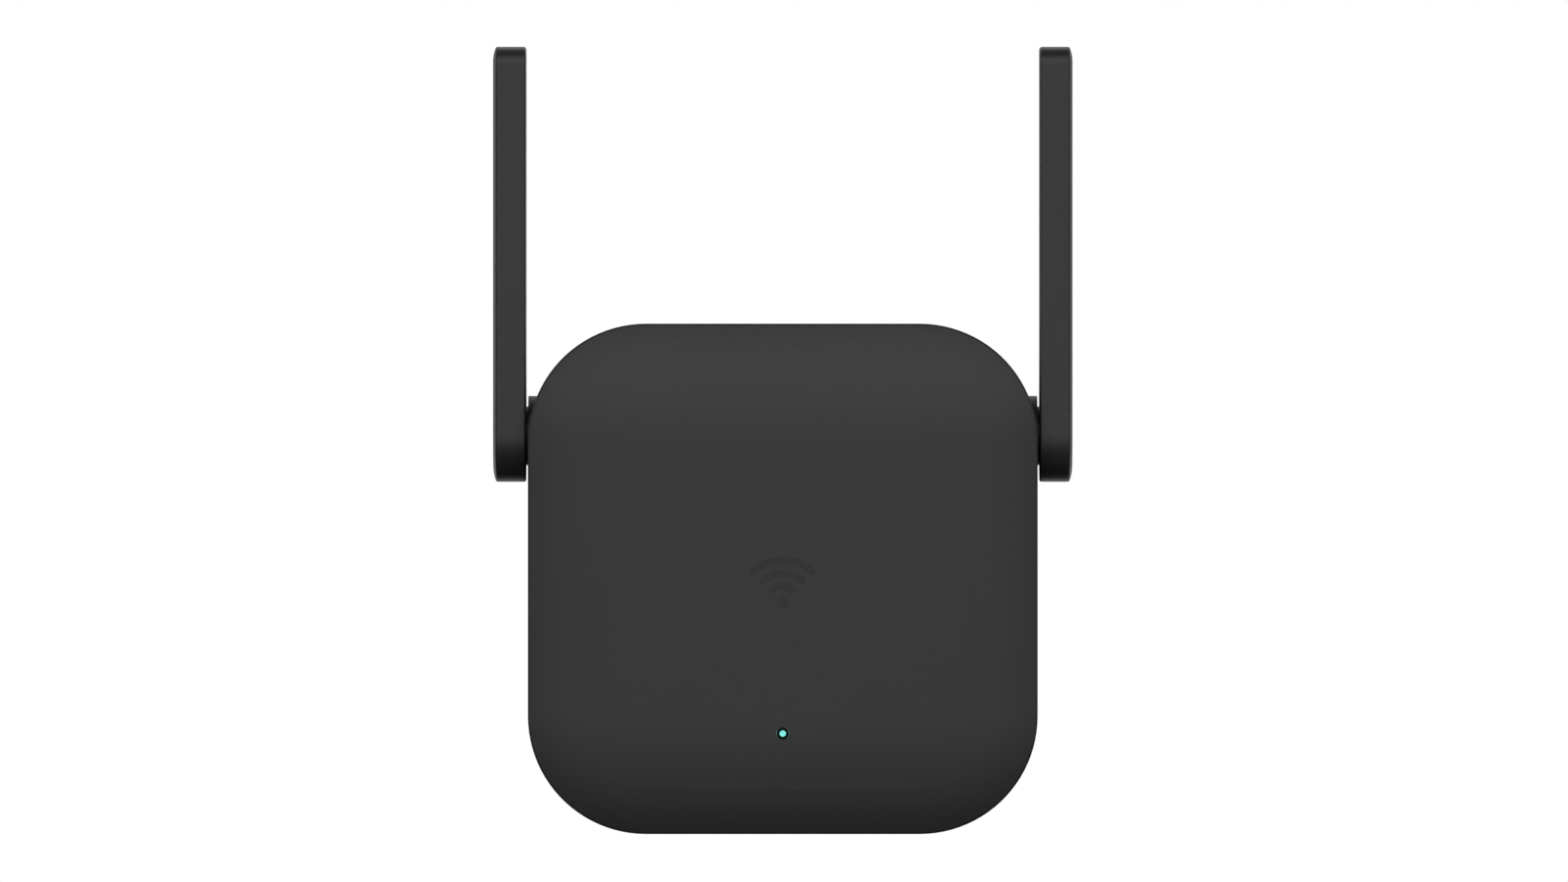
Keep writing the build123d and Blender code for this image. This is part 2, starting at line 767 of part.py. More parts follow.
def antenna_radiator():
    """Two copper legs of a printed dipole, fed at the gap between them."""
    feed_z = pivot_z + antenna_feed
    end = antenna_board_length / 2 - copper_margin
    half_gap = copper_feed_gap / 2
    cross_width = antenna_board_width - 2 * copper_margin
    legs = []
    for side in (-1, 1):
        spine = Pos(pivot_y, feed_z + side * (end + half_gap) / 2)
        spine *= Rectangle(copper_leg_width, end - half_gap)
        cross = Pos(pivot_y, feed_z + side * (end - copper_leg_width / 2))
        cross *= Rectangle(cross_width, copper_leg_width)
        tail_y = pivot_y + side * (cross_width - copper_tail_width) / 2
        tail = Pos(tail_y, feed_z + side * (end - copper_tail_length / 2))
        tail *= Rectangle(copper_tail_width, copper_tail_length)
        leg = bar(spine + cross + tail, antenna_copper_x, antenna_copper_x + copper_thickness)
        legs.append(leg)
    return group(legs)


def lead(points, radii):
    path = FilletPolyline(*points, radius=radii)
    start = Plane(path @ 0, z_dir=path % 0)
    tube = sweep(start * Circle(lead_radius), path=path)
    expected = math.pi * lead_radius**2 * path.length
    print("lead", round(path.length, 2), "mm, radii", radii, "volume share",
          round(tube.volume / expected, 4))
    return tube


def arm_lead():
    points = [
        (side_x - lead_joint_depth, pivot_y, pivot_z),
        (arm_lead_x, pivot_y, pivot_z),
        (arm_lead_x, pivot_y, pivot_z + antenna_feed),
    ]
    return lead(points, [lead_bend])


def body_lead():
    points = [
        (side_x - lead_joint_depth, pivot_y, pivot_z),
        (stub_end_x - lead_clear, pivot_y, pivot_z),
        (jack_x, lead_plug_y, pivot_z - lead_drop),
        (jack_x, lead_plug_y, jack_z + lead_plug_length),
    ]
    return lead(points, [lead_body_bend, lead_body_bend])


def friction_washer():
    ring = Circle(washer_radius) - Circle(stub_radius + washer_gap)
    return bar(Pos(pivot_y, pivot_z) * ring, washer_end_x, boss_end_x - seat_gap)


def stop_ring():
    ring_radius = hinge_boss_radius - stop_wall - stop_ring_slack
    lug = sector((stub_radius + ring_radius) / 2, hinge_boss_radius, 90, stop_lug_width)
    bore = Circle(stub_radius + seat_gap)
    bore &= Rectangle(2 * stub_radius + cutter_margin, 2 * (stub_flat + seat_gap))
    ring = Circle(ring_radius) - bore
    return bar(Pos(pivot_y, pivot_z) * (ring + lug), stop_ring_end_x, stop_ring_x)


def retaining_clip():
    inner = stub_radius - clip_groove_depth + seat_gap
    ring = sector(inner, clip_radius, 90, 360 - clip_mouth)
    return bar(Pos(pivot_y, pivot_z) * ring, clip_x - clip_thickness, clip_x)


# Logic board
def logic_board():
    size = 2 * logic_half_width, logic_board_height
    outline = Pos(0, -logic_board_drop) * RectangleRounded(*size, board_corner)
    board = slab(outline, logic_front_y, logic_back_y)
    past_board = logic_front_y - cutter_margin, logic_back_y + cutter_margin
    for x, z in logic_screw_places():
        board -= rod_y(x, z, screw_radius + board_hole_gap, *past_board)
    for x in header_pin_places():
        board -= rod_y(x, header_z, header_hole_radius, *past_board)
    return board


def on_board(board_y, x, z, size, edge):
    """A part lying on a board's front face. size is its width, height and thickness."""
    width, height, thickness = size
    part = block(
        x - width / 2, x + width / 2,
        board_y - thickness, board_y,
        z - height / 2, z + height / 2,
    )
    return fillet(part.faces().sort_by(Axis.Y)[0].edges(), edge)


def shield_frame():
    outer = Rectangle(shield_width, shield_height)
    inner = Rectangle(shield_width - 2 * shield_sheet, shield_height - 2 * shield_sheet)
    frame = Pos(0, shield_z) * (outer - inner)
    return slab(frame, logic_front_y - shield_depth, logic_front_y)


def shield_lid():
    inner = shield_width + 2 * seat_gap, shield_height + 2 * seat_gap
    outer = inner[0] + 2 * shield_sheet, inner[1] + 2 * shield_sheet
    inside_y = logic_front_y - shield_depth - seat_gap
    place = Pos(0, shield_z)
    lid = slab(place * RectangleRounded(*outer, shield_sheet), inside_y - shield_sheet, shield_skirt_y)
    return lid - slab(place * Rectangle(*inner), inside_y, logic_front_y)


def thermal_pad():
    half = thermal_pad_size / 2
    return block(
        chip_x - half, chip_x + half,
        logic_front_y - shield_depth - seat_gap, logic_front_y - chip_size[2],
        shield_z - half, shield_z + half,
    )


def small_chips(size, places):
    return group([on_board(logic_front_y, x, z, size, small_chip_edge) for x, z in places])


def chip_capacitors():
    column_x, column_pitch, column_count = capacitor_column
    first_x, row_z, row_pitch, row_count = capacitor_row
    column = [(column_x, shield_z - n * column_pitch) for n in range(column_count)]
    row = [(first_x + n * row_pitch, row_z) for n in range(row_count)]
    return small_chips(chip_capacitor_size, column + row)


def chip_resistors():
    return small_chips(chip_resistor_size, [
        (x, first_z + n * pitch)
        for x, first_z, pitch, count in resistor_columns
        for n in range(count)
    ])


def status_led():
    width, height, base = led_size
    led = block(
        -width / 2, width / 2,
        logic_front_y - base, logic_front_y,
        light_z - height / 2, light_z + height / 2,
    )
    return led + block(
        -led_lens / 2, led_lens / 2,
        logic_front_y - led_height, logic_front_y - base,
        light_z - led_lens / 2, light_z + led_lens / 2,
    )


def light_pipe():
    flange_y = light_guide_y + seat_gap
    shoulder_y = front_y + front_wall + 2 * seat_gap
    end_y = logic_front_y - led_height - seat_gap
    pipe = rod_y(0, light_z, light_flange_radius, flange_y, flange_y + light_flange_thickness)
    pipe += rod_y(0, light_z, light_pipe_radius, shoulder_y, end_y)
    tip = rod_y(0, light_z, light_tip_radius, front_y + light_recess, shoulder_y)
    return pipe + fillet(tip.edges().sort_by(Axis.Y)[0], light_tip_edge)


def light_sleeve():
    ring = Circle(light_sleeve_radius) - Circle(light_tip_radius + moulded_gap)
    return slab(Pos(0, light_z) * ring, front_y + light_recess, front_y + front_wall)


def antenna_jack():
    half = jack_size / 2
    base_y = logic_back_y + jack_base
    jack = block(jack_x - half, jack_x + half, logic_back_y, base_y, jack_z - half, jack_z + half)
    return jack + rod_y(jack_x, jack_z, jack_radius, base_y, logic_back_y + jack_height)


def lead_plug():
    cap_y = logic_back_y + jack_height + lead_plug_cap
    plug = rod_y(jack_x, jack_z, lead_plug_radius, logic_back_y + jack_base + seat_gap, cap_y)
    end_z = jack_z + lead_plug_length
    neck = rod_z(jack_x, lead_plug_y, lead_plug_neck, jack_z, end_z)
    crimp = rod_z(jack_x, lead_plug_y, lead_radius + lead_plug_crimp, jack_z + lead_plug_radius, end_z)
    socket = rod_y(jack_x, jack_z, jack_radius + seat_gap, logic_back_y, cap_y - lead_plug_skin)
    return plug + neck + crimp - socket


def reset_switch():
    switch = block(
        reset_x - reset_switch_width / 2, reset_x + reset_switch_width / 2,
        logic_back_y, logic_back_y + reset_switch_thickness,
        logic_bottom_z, logic_bottom_z + reset_switch_height,
    )
    well = reset_plunger_radius + seat_gap, logic_bottom_z - cutter_margin, logic_bottom_z + reset_well
    return switch - rod_z(reset_x, reset_y, *well)


def reset_plunger():
    root_z = logic_bottom_z + reset_well - reset_stop_gap - reset_travel
    tip_z = logic_bottom_z - reset_plunger_reach
    plunger = rod_z(reset_x, reset_y, reset_plunger_radius, tip_z, root_z)
    return fillet(plunger.edges().sort_by(Axis.Z)[0], reset_plunger_edge)


# Header between the boards
def header_pin_places():
    return [(n - (header_count - 1) / 2) * header_pitch for n in range(header_count)]


def board_header():
    half_width = header_count * header_pitch / 2
    half_height = header_pitch / 2
    base = block(
        -half_width, half_width,
        power_front_y - header_base, power_front_y,
        header_z - half_height, header_z + half_height,
    )
    past_base = power_front_y - header_base - cutter_margin, power_front_y + cutter_margin
    for x in header_pin_places():
        base -= rod_y(x, header_z, header_hole_radius, *past_base)
    return base


def header_pins():
    half = header_pin_width / 2
    ends = logic_front_y - solder_reach, power_back_y + solder_reach
    return group([
        block(x - half, x + half, *ends, header_z - half, header_z + half)
        for x in header_pin_places()
    ])


def insulating_sheet():
    size = 2 * (logic_screw_x - post_radius), insulating_sheet_height
    outline = Pos(0, power_board_lift) * RectangleRounded(*size, board_corner)
    return slab(outline, logic_back_y, logic_back_y + insulating_sheet_thickness)


# Power board
def power_board():
    size = 2 * power_half_width, power_board_height
    outline = Pos(0, power_board_lift) * RectangleRounded(*size, board_corner)
    board = slab(outline, power_front_y, power_back_y)
    past_board = power_front_y - cutter_margin, power_back_y + cutter_margin
    for x, z in power_screw_places():
        board -= rod_y(x, z, screw_radius + board_hole_gap, *past_board)
    for x in header_pin_places():
        board -= rod_y(x, header_z, header_hole_radius, *past_board)
    half_thickness = strip_thickness / 2 + board_hole_gap
    half_width = strip_width / 2 + board_hole_gap
    for x in (-pin_x, pin_x):
        board -= block(
            x - half_width, x + half_width, *past_board,
            strip_offset - half_thickness, strip_offset + half_thickness,
        )
    for x, z in wire_places():
        board -= rod_y(x, z, wire_radius + board_hole_gap, *past_board)
    return board


def transformer_pin_places():
    return [
        (transformer_x + across * transformer_pin_pitch, transformer_z + side * transformer_pin_rise)
        for across in (-1, 0, 1)
        for side in (-1, 1)
    ]


def capacitor_leg_z(z, legs_above):
    return z + capacitor_length + leg_bend if legs_above else z - leg_bend


def capacitor_places():
    """Middle across, lower end, and whether the legs leave the upper end."""
    inputs = [(x, input_capacitor_z, False) for x in input_capacitor_x]
    return inputs + [(output_capacitor_x, output_capacitor_z, True)]


def wire_places():
    """Holes for the wired parts' legs."""
    places = transformer_pin_places()
    for x, z, legs_above in capacitor_places():
        leg_z = capacitor_leg_z(z, legs_above)
        places += [(x + side * capacitor_leg_pitch / 2, leg_z) for side in (-1, 1)]
    places += [(fuse_x, fuse_z - leg_bend), (fuse_x, fuse_z + fuse_length + leg_bend)]
    return places + [(disc_x, disc_z + side * disc_leg_pitch / 2) for side in (-1, 1)]


def bent_leg(x, z_from, z_to, y):
    """A wire that leaves a part along Z and turns back through the board."""
    leg = rod_z(x, y, wire_radius, min(z_from, z_to), max(z_from, z_to))
    leg += Pos(x, y, z_to) * Sphere(wire_radius)
    return leg + rod_y(x, z_to, wire_radius, y, power_back_y + solder_reach)


def lying_capacitor(x, z, legs_above):
    y = power_front_y - capacitor_radius - seat_gap
    end_z = z + capacitor_length if legs_above else z
    inwards = -1 if legs_above else 1
    can = rod_z(x, y, capacitor_radius, z, z + capacitor_length)
    can = fillet(can.edges().filter_by(GeomType.CIRCLE), capacitor_edge)
    crimp_z = end_z + inwards * capacitor_crimp_inset
    can -= Pos(x, y, crimp_z) * Torus(capacitor_radius + moulded_gap, capacitor_crimp_depth)
    for side in (-1, 1):
        leg_x = x + side * capacitor_leg_pitch / 2
        can += bent_leg(leg_x, end_z + inwards * leg_root, end_z - inwards * leg_bend, y)
    return can


def input_capacitors():
    return group([lying_capacitor(*place) for place in capacitor_places()[:-1]])


def output_capacitor():
    return lying_capacitor(*capacitor_places()[-1])


def fuse_resistor():
    y = power_front_y - fuse_radius - seat_gap
    end_z = fuse_z + fuse_length
    body = rod_z(fuse_x, y, fuse_radius, fuse_z, end_z)
    body = fillet(body.edges().filter_by(GeomType.CIRCLE), fuse_radius / 3)
    body += bent_leg(fuse_x, fuse_z + leg_root, fuse_z - leg_bend, y)
    return body + bent_leg(fuse_x, end_z - leg_root, end_z + leg_bend, y)


def safety_capacitor():
    y = power_front_y - disc_lift - disc_radius
    half = disc_thickness / 2
    disc = rod_x(y, disc_z, disc_radius, disc_x - half, disc_x + half)
    disc = fillet(disc.edges().filter_by(GeomType.CIRCLE), disc_edge)
    for side in (-1, 1):
        z = disc_z + side * disc_leg_pitch / 2
        disc += rod_y(disc_x, z, wire_radius, y, power_back_y + solder_reach)
    return disc


def in_transformer(shape):
    """Puts a shape at the transformer's middle."""
    middle_y = power_front_y - bobbin_depth / 2 - seat_gap
    return Pos(transformer_x, middle_y, transformer_z) * shape


def transformer_core():
    """Two E-shaped halves that meet in the middle, with their legs along Z."""
    half = Pos(0, 0, core_height / 4 + seat_gap / 2) * Box(core_width, core_depth, core_height / 2)
    window_x = (core_leg + core_window) / 2
    window_height = core_height / 2 - core_back
    for x in (-window_x, window_x):
        window = Box(core_window, core_depth + cutter_margin, 2 * window_height)
        half -= Pos(x, 0, 0) * window
    return group([in_transformer(half), in_transformer(mirror(half, about=Plane.XY))])


def transformer_bobbin():
    """A square tube with a flange at each end, and a row of pins below each flange."""
    inside = core_leg + 2 * seat_gap, core_depth + 2 * seat_gap
    outside = inside[0] + 2 * bobbin_wall, inside[1] + 2 * bobbin_wall
    height = core_height - 2 * core_back - 2 * seat_gap
    flange_z = (height - bobbin_wall) / 2
    bobbin = Box(*outside, height)
    rail_y = (bobbin_depth - bobbin_rail) / 2
    for side in (-1, 1):
        bobbin += Pos(0, 0, side * flange_z) * Box(bobbin_width, bobbin_depth, bobbin_wall)
        rail_end = transformer_pin_rise + 2 * wire_radius
        rail_z = side * (rail_end + flange_z) / 2
        bobbin += Pos(0, rail_y, rail_z) * Box(bobbin_width, bobbin_rail, rail_end - flange_z)
    bobbin = in_transformer(bobbin - Box(*inside, core_height))
    for x, z in transformer_pin_places():
        bobbin += rod_y(x, z, wire_radius, power_front_y - bobbin_rail, power_back_y + solder_reach)
    return bobbin


def transformer_winding():
    inside = core_leg + 2 * bobbin_wall + 3 * seat_gap, core_depth + 2 * bobbin_wall + 3 * seat_gap
    height = core_height - 2 * core_back - 2 * bobbin_wall - 4 * seat_gap
    winding = Box(bobbin_width - winding_inset, bobbin_depth - winding_inset, height)
    winding = fillet(winding.edges().filter_by(Axis.Z), winding_corner)
    return in_transformer(winding - Box(*inside, core_height))


def choke_core(x, z, radius, height):
    """A bare drum core, with a flange either side of its waist."""
    core = rod_y(x, z, radius, power_front_y - height, power_front_y)
    waist = Pos(x, z) * (Circle(radius + cutter_margin) - Circle(radius * choke_waist))
    ends = power_front_y - height + choke_flange, power_front_y - choke_flange
    return core - slab(waist, *ends)


def choke_coil(x, z, radius, height):
    coil = Circle(radius - choke_coil_inset) - Circle(radius * choke_waist + seat_gap)
    side = choke_flange + seat_gap
    return slab(Pos(x, z) * coil, power_front_y - height + side, power_front_y - side)


def all_parts():
    parts = {
        "front_cover": front_cover(),
        "rear_case": rear_case(),
        "rating_label": rating_label(),
        "plug_carrier": plug_carrier(),
        "plug_pins": plug_pins(),
        "pin_sleeves": pin_sleeves(),
        "contact_strips": contact_strips(),
        "friction_washers": group(both_sides(friction_washer())),
        "logic_board": logic_board(),
        "logic_board_screws": group([
            screw(x, z, logic_back_y, 1) for x, z in logic_screw_places()
        ]),
        "wifi_chip": on_board(logic_front_y, chip_x, shield_z, chip_size, chip_edge),
        "thermal_pad": thermal_pad(),
        "shield_frame": shield_frame(),
        "shield_lid": shield_lid(),
        "flash_chip": on_board(logic_front_y, *flash_chip_place, flash_chip_size, chip_edge),
        "crystal": on_board(
            logic_front_y, crystal_x, shield_z + crystal_rise, crystal_size, chip_edge
        ),
        "chip_capacitors": chip_capacitors(),
        "chip_resistors": chip_resistors(),
        "status_led": status_led(),
        "light_pipe": light_pipe(),
        "light_sleeve": light_sleeve(),
        "antenna_jacks": group(both_sides(antenna_jack())),
        "lead_plugs": group(both_sides(lead_plug())),
        "reset_switch": reset_switch(),
        "reset_plunger": reset_plunger(),
        "board_header": board_header(),
        "header_pins": header_pins(),
        "insulating_sheet": insulating_sheet(),
        "power_board": power_board(),
        "power_board_screws": group([
            screw(x, z, power_front_y, -1) for x, z in power_screw_places()
        ]),
        "transformer_core": transformer_core(),
        "transformer_bobbin": transformer_bobbin(),
        "transformer_winding": transformer_winding(),
        "input_capacitors": input_capacitors(),
        "output_capacitor": output_capacitor(),
        "fuse_resistor": fuse_resistor(),
        "safety_capacitor": safety_capacitor(),
        "bridge_rectifier": on_board(power_front_y, *bridge_place, bridge_size, chip_edge),
        "output_diode": on_board(power_front_y, *diode_place, diode_size, chip_edge),
        "power_chip": on_board(power_front_y, *power_chip_place, power_chip_size, chip_edge),
        "choke_cores": group([choke_core(*choke) for choke in chokes]),
        "choke_coils": group([choke_coil(*choke) for choke in chokes]),
    }
    paired = {
        "antenna_shell": antenna_shell(),
        "antenna_lid": antenna_lid(),
        "antenna_board": antenna_board(),
        "antenna_radiator": antenna_radiator(),
        "arm_lead": arm_lead(),
        "body_lead": body_lead(),
        "stop_ring": stop_ring(),
        "retaining_clip": retaining_clip(),
    }
    for name, piece in paired.items():
        right, left = both_sides(piece)
        parts["right_" + name] = right
        parts["left_" + name] = left
    return parts


os.makedirs("parts", exist_ok=True)
for name, shape in all_parts().items():
    export_step(shape, f"parts/{name}.step")
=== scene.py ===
import bpy
import bmesh
import json
import math
from mathutils import Matrix, Vector


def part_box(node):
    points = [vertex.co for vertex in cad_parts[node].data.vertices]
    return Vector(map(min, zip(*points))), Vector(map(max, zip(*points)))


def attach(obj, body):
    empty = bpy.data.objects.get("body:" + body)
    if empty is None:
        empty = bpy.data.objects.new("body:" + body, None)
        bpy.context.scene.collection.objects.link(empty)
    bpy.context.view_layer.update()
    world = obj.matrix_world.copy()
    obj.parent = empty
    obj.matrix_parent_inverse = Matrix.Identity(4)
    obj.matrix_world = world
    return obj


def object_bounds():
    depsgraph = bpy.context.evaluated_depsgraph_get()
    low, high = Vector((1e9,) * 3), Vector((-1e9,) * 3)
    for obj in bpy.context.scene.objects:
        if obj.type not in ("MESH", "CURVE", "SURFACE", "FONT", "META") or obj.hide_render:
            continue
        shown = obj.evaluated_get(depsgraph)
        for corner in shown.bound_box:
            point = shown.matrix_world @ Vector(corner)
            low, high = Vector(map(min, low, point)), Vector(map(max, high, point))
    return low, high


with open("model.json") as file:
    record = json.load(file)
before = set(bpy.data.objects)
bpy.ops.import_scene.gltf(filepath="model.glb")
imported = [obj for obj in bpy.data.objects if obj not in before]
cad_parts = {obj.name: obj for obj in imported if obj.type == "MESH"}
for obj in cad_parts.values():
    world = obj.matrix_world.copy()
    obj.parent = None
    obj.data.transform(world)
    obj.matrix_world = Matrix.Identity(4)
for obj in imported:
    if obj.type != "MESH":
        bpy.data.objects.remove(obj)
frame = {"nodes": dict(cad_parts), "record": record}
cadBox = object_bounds()
nodes = frame["nodes"]
mm = 0.001
lowest, highest = Vector(cadBox[0]), Vector(cadBox[1])
coverLow = Vector(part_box("front_cover")[0])


def corners(node):
    return [Vector(corner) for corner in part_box(node)]


# The camera looks straight at the front, from far away
camera = {
    "viewWidth": 244.3 * mm,  # what it takes in across the front face
    "lens": 600.0,
    "sensor": 36.0,
    "aside": 0.19 * mm,
    "above": -0.13 * mm,  # from the middle of the object's height
    "clip": (0.1, 50.0),
}


def makeCamera():
    lens = bpy.data.cameras.new("camera")
    lens.lens = camera["lens"]
    lens.sensor_width = camera["sensor"]
    lens.clip_start, lens.clip_end = camera["clip"]
    holder = bpy.data.objects.new("camera", lens)
    bpy.context.scene.collection.objects.link(holder)
    distance = camera["lens"] / camera["sensor"] * camera["viewWidth"]
    middle = (lowest.z + highest.z) / 2
    holder.location = (camera["aside"], lowest.y - distance, middle + camera["above"])
    holder.rotation_euler = (math.radians(90), 0, 0)
    bpy.context.scene.camera = holder


# Each softbox: the way to it round the object and above it in degrees, its distance, width,
# height and power. Azimuth 0 is in front of the object, and turns towards its right.
softboxes = {
    "frontSoftbox": (0, 24, 1.6, 3.4, 1.1, 20.2),
    "lowSoftbox": (0, -10, 1.6, 3.4, 0.85, 6.2),
    "backSoftbox": (180, 0, 1.6, 3.0, 2.6, 26.0),
    "leftFill": (-108, 20, 1.6, 0.9, 1.2, 5.0),
    "rightFill": (108, 20, 1.6, 0.9, 1.2, 5.0),
    "topFill": (180, 55, 1.6, 2.0, 0.9, 9.0),
}
studio = {
    "target": (0, 0, 15 * mm),  # where the softboxes point
    "backdrop": 1.0,
    "ambient": 0.04,
}
floorPaper = {
    "drop": 80 * mm,  # below the casing
    "radius": 1.2,
    "segments": 96,
    "tone": 0.82,
    "rough": 0.9,
    "glow": 0.32,  # lifts the paper to a pale tone
}


def makeSoftbox(name, azimuth, elevation, distance, width, height, power):
    light = bpy.data.lights.new(name, "AREA")
    light.shape = "RECTANGLE"
    light.size, light.size_y = width, height
    light.energy = power
    holder = bpy.data.objects.new(name, light)
    bpy.context.scene.collection.objects.link(holder)
    a, e = math.radians(azimuth), math.radians(elevation)
    away = Vector((math.sin(a) * math.cos(e), -math.cos(a) * math.cos(e), math.sin(e)))
    holder.location = Vector(studio["target"]) + away * distance
    holder.rotation_euler = away.to_track_quat("Z", "Y").to_euler()
    holder.visible_camera = False


def makeBackdrop():
    # white to the camera, and a dim even light to the object
    world = bpy.data.worlds.new("softWhite")
    bpy.context.scene.world = world
    world.use_nodes = True
    tree = world.node_tree
    tree.nodes.clear()
    out = tree.nodes.new("ShaderNodeOutputWorld")
    mix = tree.nodes.new("ShaderNodeMixShader")
    rays = tree.nodes.new("ShaderNodeLightPath")
    tree.links.new(rays.outputs["Is Camera Ray"], mix.inputs[0])
    for socket, strength in ((1, studio["ambient"]), (2, studio["backdrop"])):
        shade = tree.nodes.new("ShaderNodeBackground")
        shade.inputs["Color"].default_value = (1, 1, 1, 1)
        shade.inputs["Strength"].default_value = strength
        tree.links.new(shade.outputs[0], mix.inputs[socket])
    tree.links.new(mix.outputs[0], out.inputs["Surface"])


def makeFloor():
    bm = bmesh.new()
    bmesh.ops.create_circle(
        bm, cap_ends=True, segments=floorPaper["segments"], radius=floorPaper["radius"]
    )
    bmesh.ops.translate(bm, verts=bm.verts, vec=(0, 0, coverLow.z - floorPaper["drop"]))
    floor = meshObject("floor", bm)
    paper = setShader(newFinish("palePaper"), {
        "Base Color": (*[floorPaper["tone"]] * 3, 1),
        "Roughness": floorPaper["rough"],
        "Emission Color": (1, 1, 1, 1),
        "Emission Strength": floorPaper["glow"],
    })
    floor.data.materials.append(paper)
    floor.visible_glossy = False  # kept out of the plastic's reflections
    floor.visible_diffuse = False
    floor.visible_shadow = False  # lets the low softbox through


def meshObject(name, bm):
    mesh = bpy.data.meshes.new(name)
    bm.to_mesh(mesh)
    bm.free()
    made = bpy.data.objects.new(name, mesh)
    bpy.context.scene.collection.objects.link(made)
    return made


# Material building blocks. Patterns run on object coordinates, so they keep their real size.
def newFinish(name):
    mat = bpy.data.materials.new(name)
    mat.use_nodes = True
    return mat


def fill(mat, node, inputs):
    # a socket is linked, and a plain value is set
    for key, value in inputs.items():
        if isinstance(value, bpy.types.NodeSocket):
            mat.node_tree.links.new(value, node.inputs[key])
        else:
            node.inputs[key].default_value = value


def addNode(mat, kind, inputs, **settings):
    node = mat.node_tree.nodes.new("ShaderNode" + kind)
    for key, value in settings.items():
        setattr(node, key, value)
    fill(mat, node, inputs)
    return node


def setShader(mat, inputs):
    fill(mat, mat.node_tree.nodes["Principled BSDF"], inputs)
    return mat


def objectCoords(mat):
    return addNode(mat, "TexCoord", {}).outputs["Object"]


def axes(mat):
    # the three coordinates, in metres
    return addNode(mat, "SeparateXYZ", {0: objectCoords(mat)}).outputs


def place(mat, stretch=(1, 1, 1)):
    # a small stretch makes a pattern longer along that axis
    return addNode(mat, "Mapping", {"Vector": objectCoords(mat), "Scale": stretch}).outputs[0]


def noise(mat, size, detail=3.0, rough=0.5, stretch=(1, 1, 1)):
    # size is the width of one patch
    return addNode(mat, "TexNoise", {
        "Vector": place(mat, stretch), "Scale": 1 / size, "Detail": detail, "Roughness": rough,
    }).outputs["Fac"]


def calc(mat, operation, first, second=0.0):
    return addNode(mat, "Math", {0: first, 1: second}, operation=operation).outputs[0]


def spread(mat, source, low, high, start=0.3, end=0.7):
    return addNode(mat, "MapRange", {
        "Value": source, "From Min": start, "From Max": end, "To Min": low, "To Max": high,
    }).outputs["Result"]


def tint(mat, source, low, high, start=0.3, end=0.7):
    ramp = addNode(mat, "ValToRGB", {"Fac": source})
    first, last = ramp.color_ramp.elements
    first.position, first.color = start, (*low, 1)
    last.position, last.color = end, (*high, 1)
    return ramp.outputs["Color"]


def bump(mat, heights, depth, under=None):
    inputs = {"Strength": 1.0, "Distance": depth, "Height": heights}
    if under:
        inputs["Normal"] = under
    return addNode(mat, "Bump", inputs).outputs["Normal"]


# Masks are one where they hold and none elsewhere
def near(mat, value, middle, reach):
    return addNode(mat, "Math", {0: value, 1: middle, 2: reach}, operation="COMPARE").outputs[0]


def beyond(mat, value, limit):
    return calc(mat, "GREATER_THAN", value, limit)


def below(mat, value, limit):
    return calc(mat, "LESS_THAN", value, limit)


def both(mat, first, second):
    return calc(mat, "MULTIPLY", first, second)


def squared(mat, value):
    return calc(mat, "MULTIPLY", value, value)


def either(mat, *masks):
    joined = masks[0]
    for mask in masks[1:]:
        joined = calc(mat, "MAXIMUM", joined, mask)
    return joined


def apart(mat, first, second):
    return calc(mat, "ABSOLUTE", calc(mat, "SUBTRACT", first, second))


def inPitch(mat, value, pitch):
    # how far along its own pitch, from none to one
    return calc(mat, "FRACT", calc(mat, "DIVIDE", value, pitch))


def stripes(mat, value, pitch, share):
    return below(mat, inPitch(mat, value, pitch), share)


def wave(mat, value, pitch):
    return calc(mat, "SINE", calc(mat, "MULTIPLY", value, 2 * math.pi / pitch))


def paint(mat, mask, under, over):
    # one colour over another, by a mask
    colors = [c if isinstance(c, bpy.types.NodeSocket) else (*c, 1) for c in (under, over)]
    inputs = {0: mask, 6: colors[0], 7: colors[1]}
    return addNode(mat, "Mix", inputs, data_type="RGBA").outputs[2]


def level(mat, mask, under, over):
    return spread(mat, mask, under, over, 0.0, 1.0)


def grey(value):
    return (value, value, value * 1.01)  # a trace cooler than neutral


def darker(color, share):
    return [c * (1 - share) for c in color]


def lighter(color, share):
    return [min(1.0, c * (1 + share)) for c in color]


# Plastic moulded in a spark-eroded tool: an even fine grain with shallow pits
eroded = {
    "pitPitch": 2.5,  # in grains
    "pitShare": 0.6,  # of the pits in the height
    "drift": 0.03,  # of the tone, either way
    "driftPatch": 16 * mm,
    "polishDrift": 0.02,  # of the roughness, either way
    "polishPatch": 0.5 * mm,
    "index": 1.48,
}
# tone, roughness, grain and its depth
erodedPlastics = {
    "cover_plastic": (0.016, 0.46, 0.14 * mm, 0.004 * mm),
    "case_plastic": (0.012, 0.55, 0.18 * mm, 0.006 * mm),
    "antenna_plastic": (0.016, 0.46, 0.14 * mm, 0.004 * mm),
}


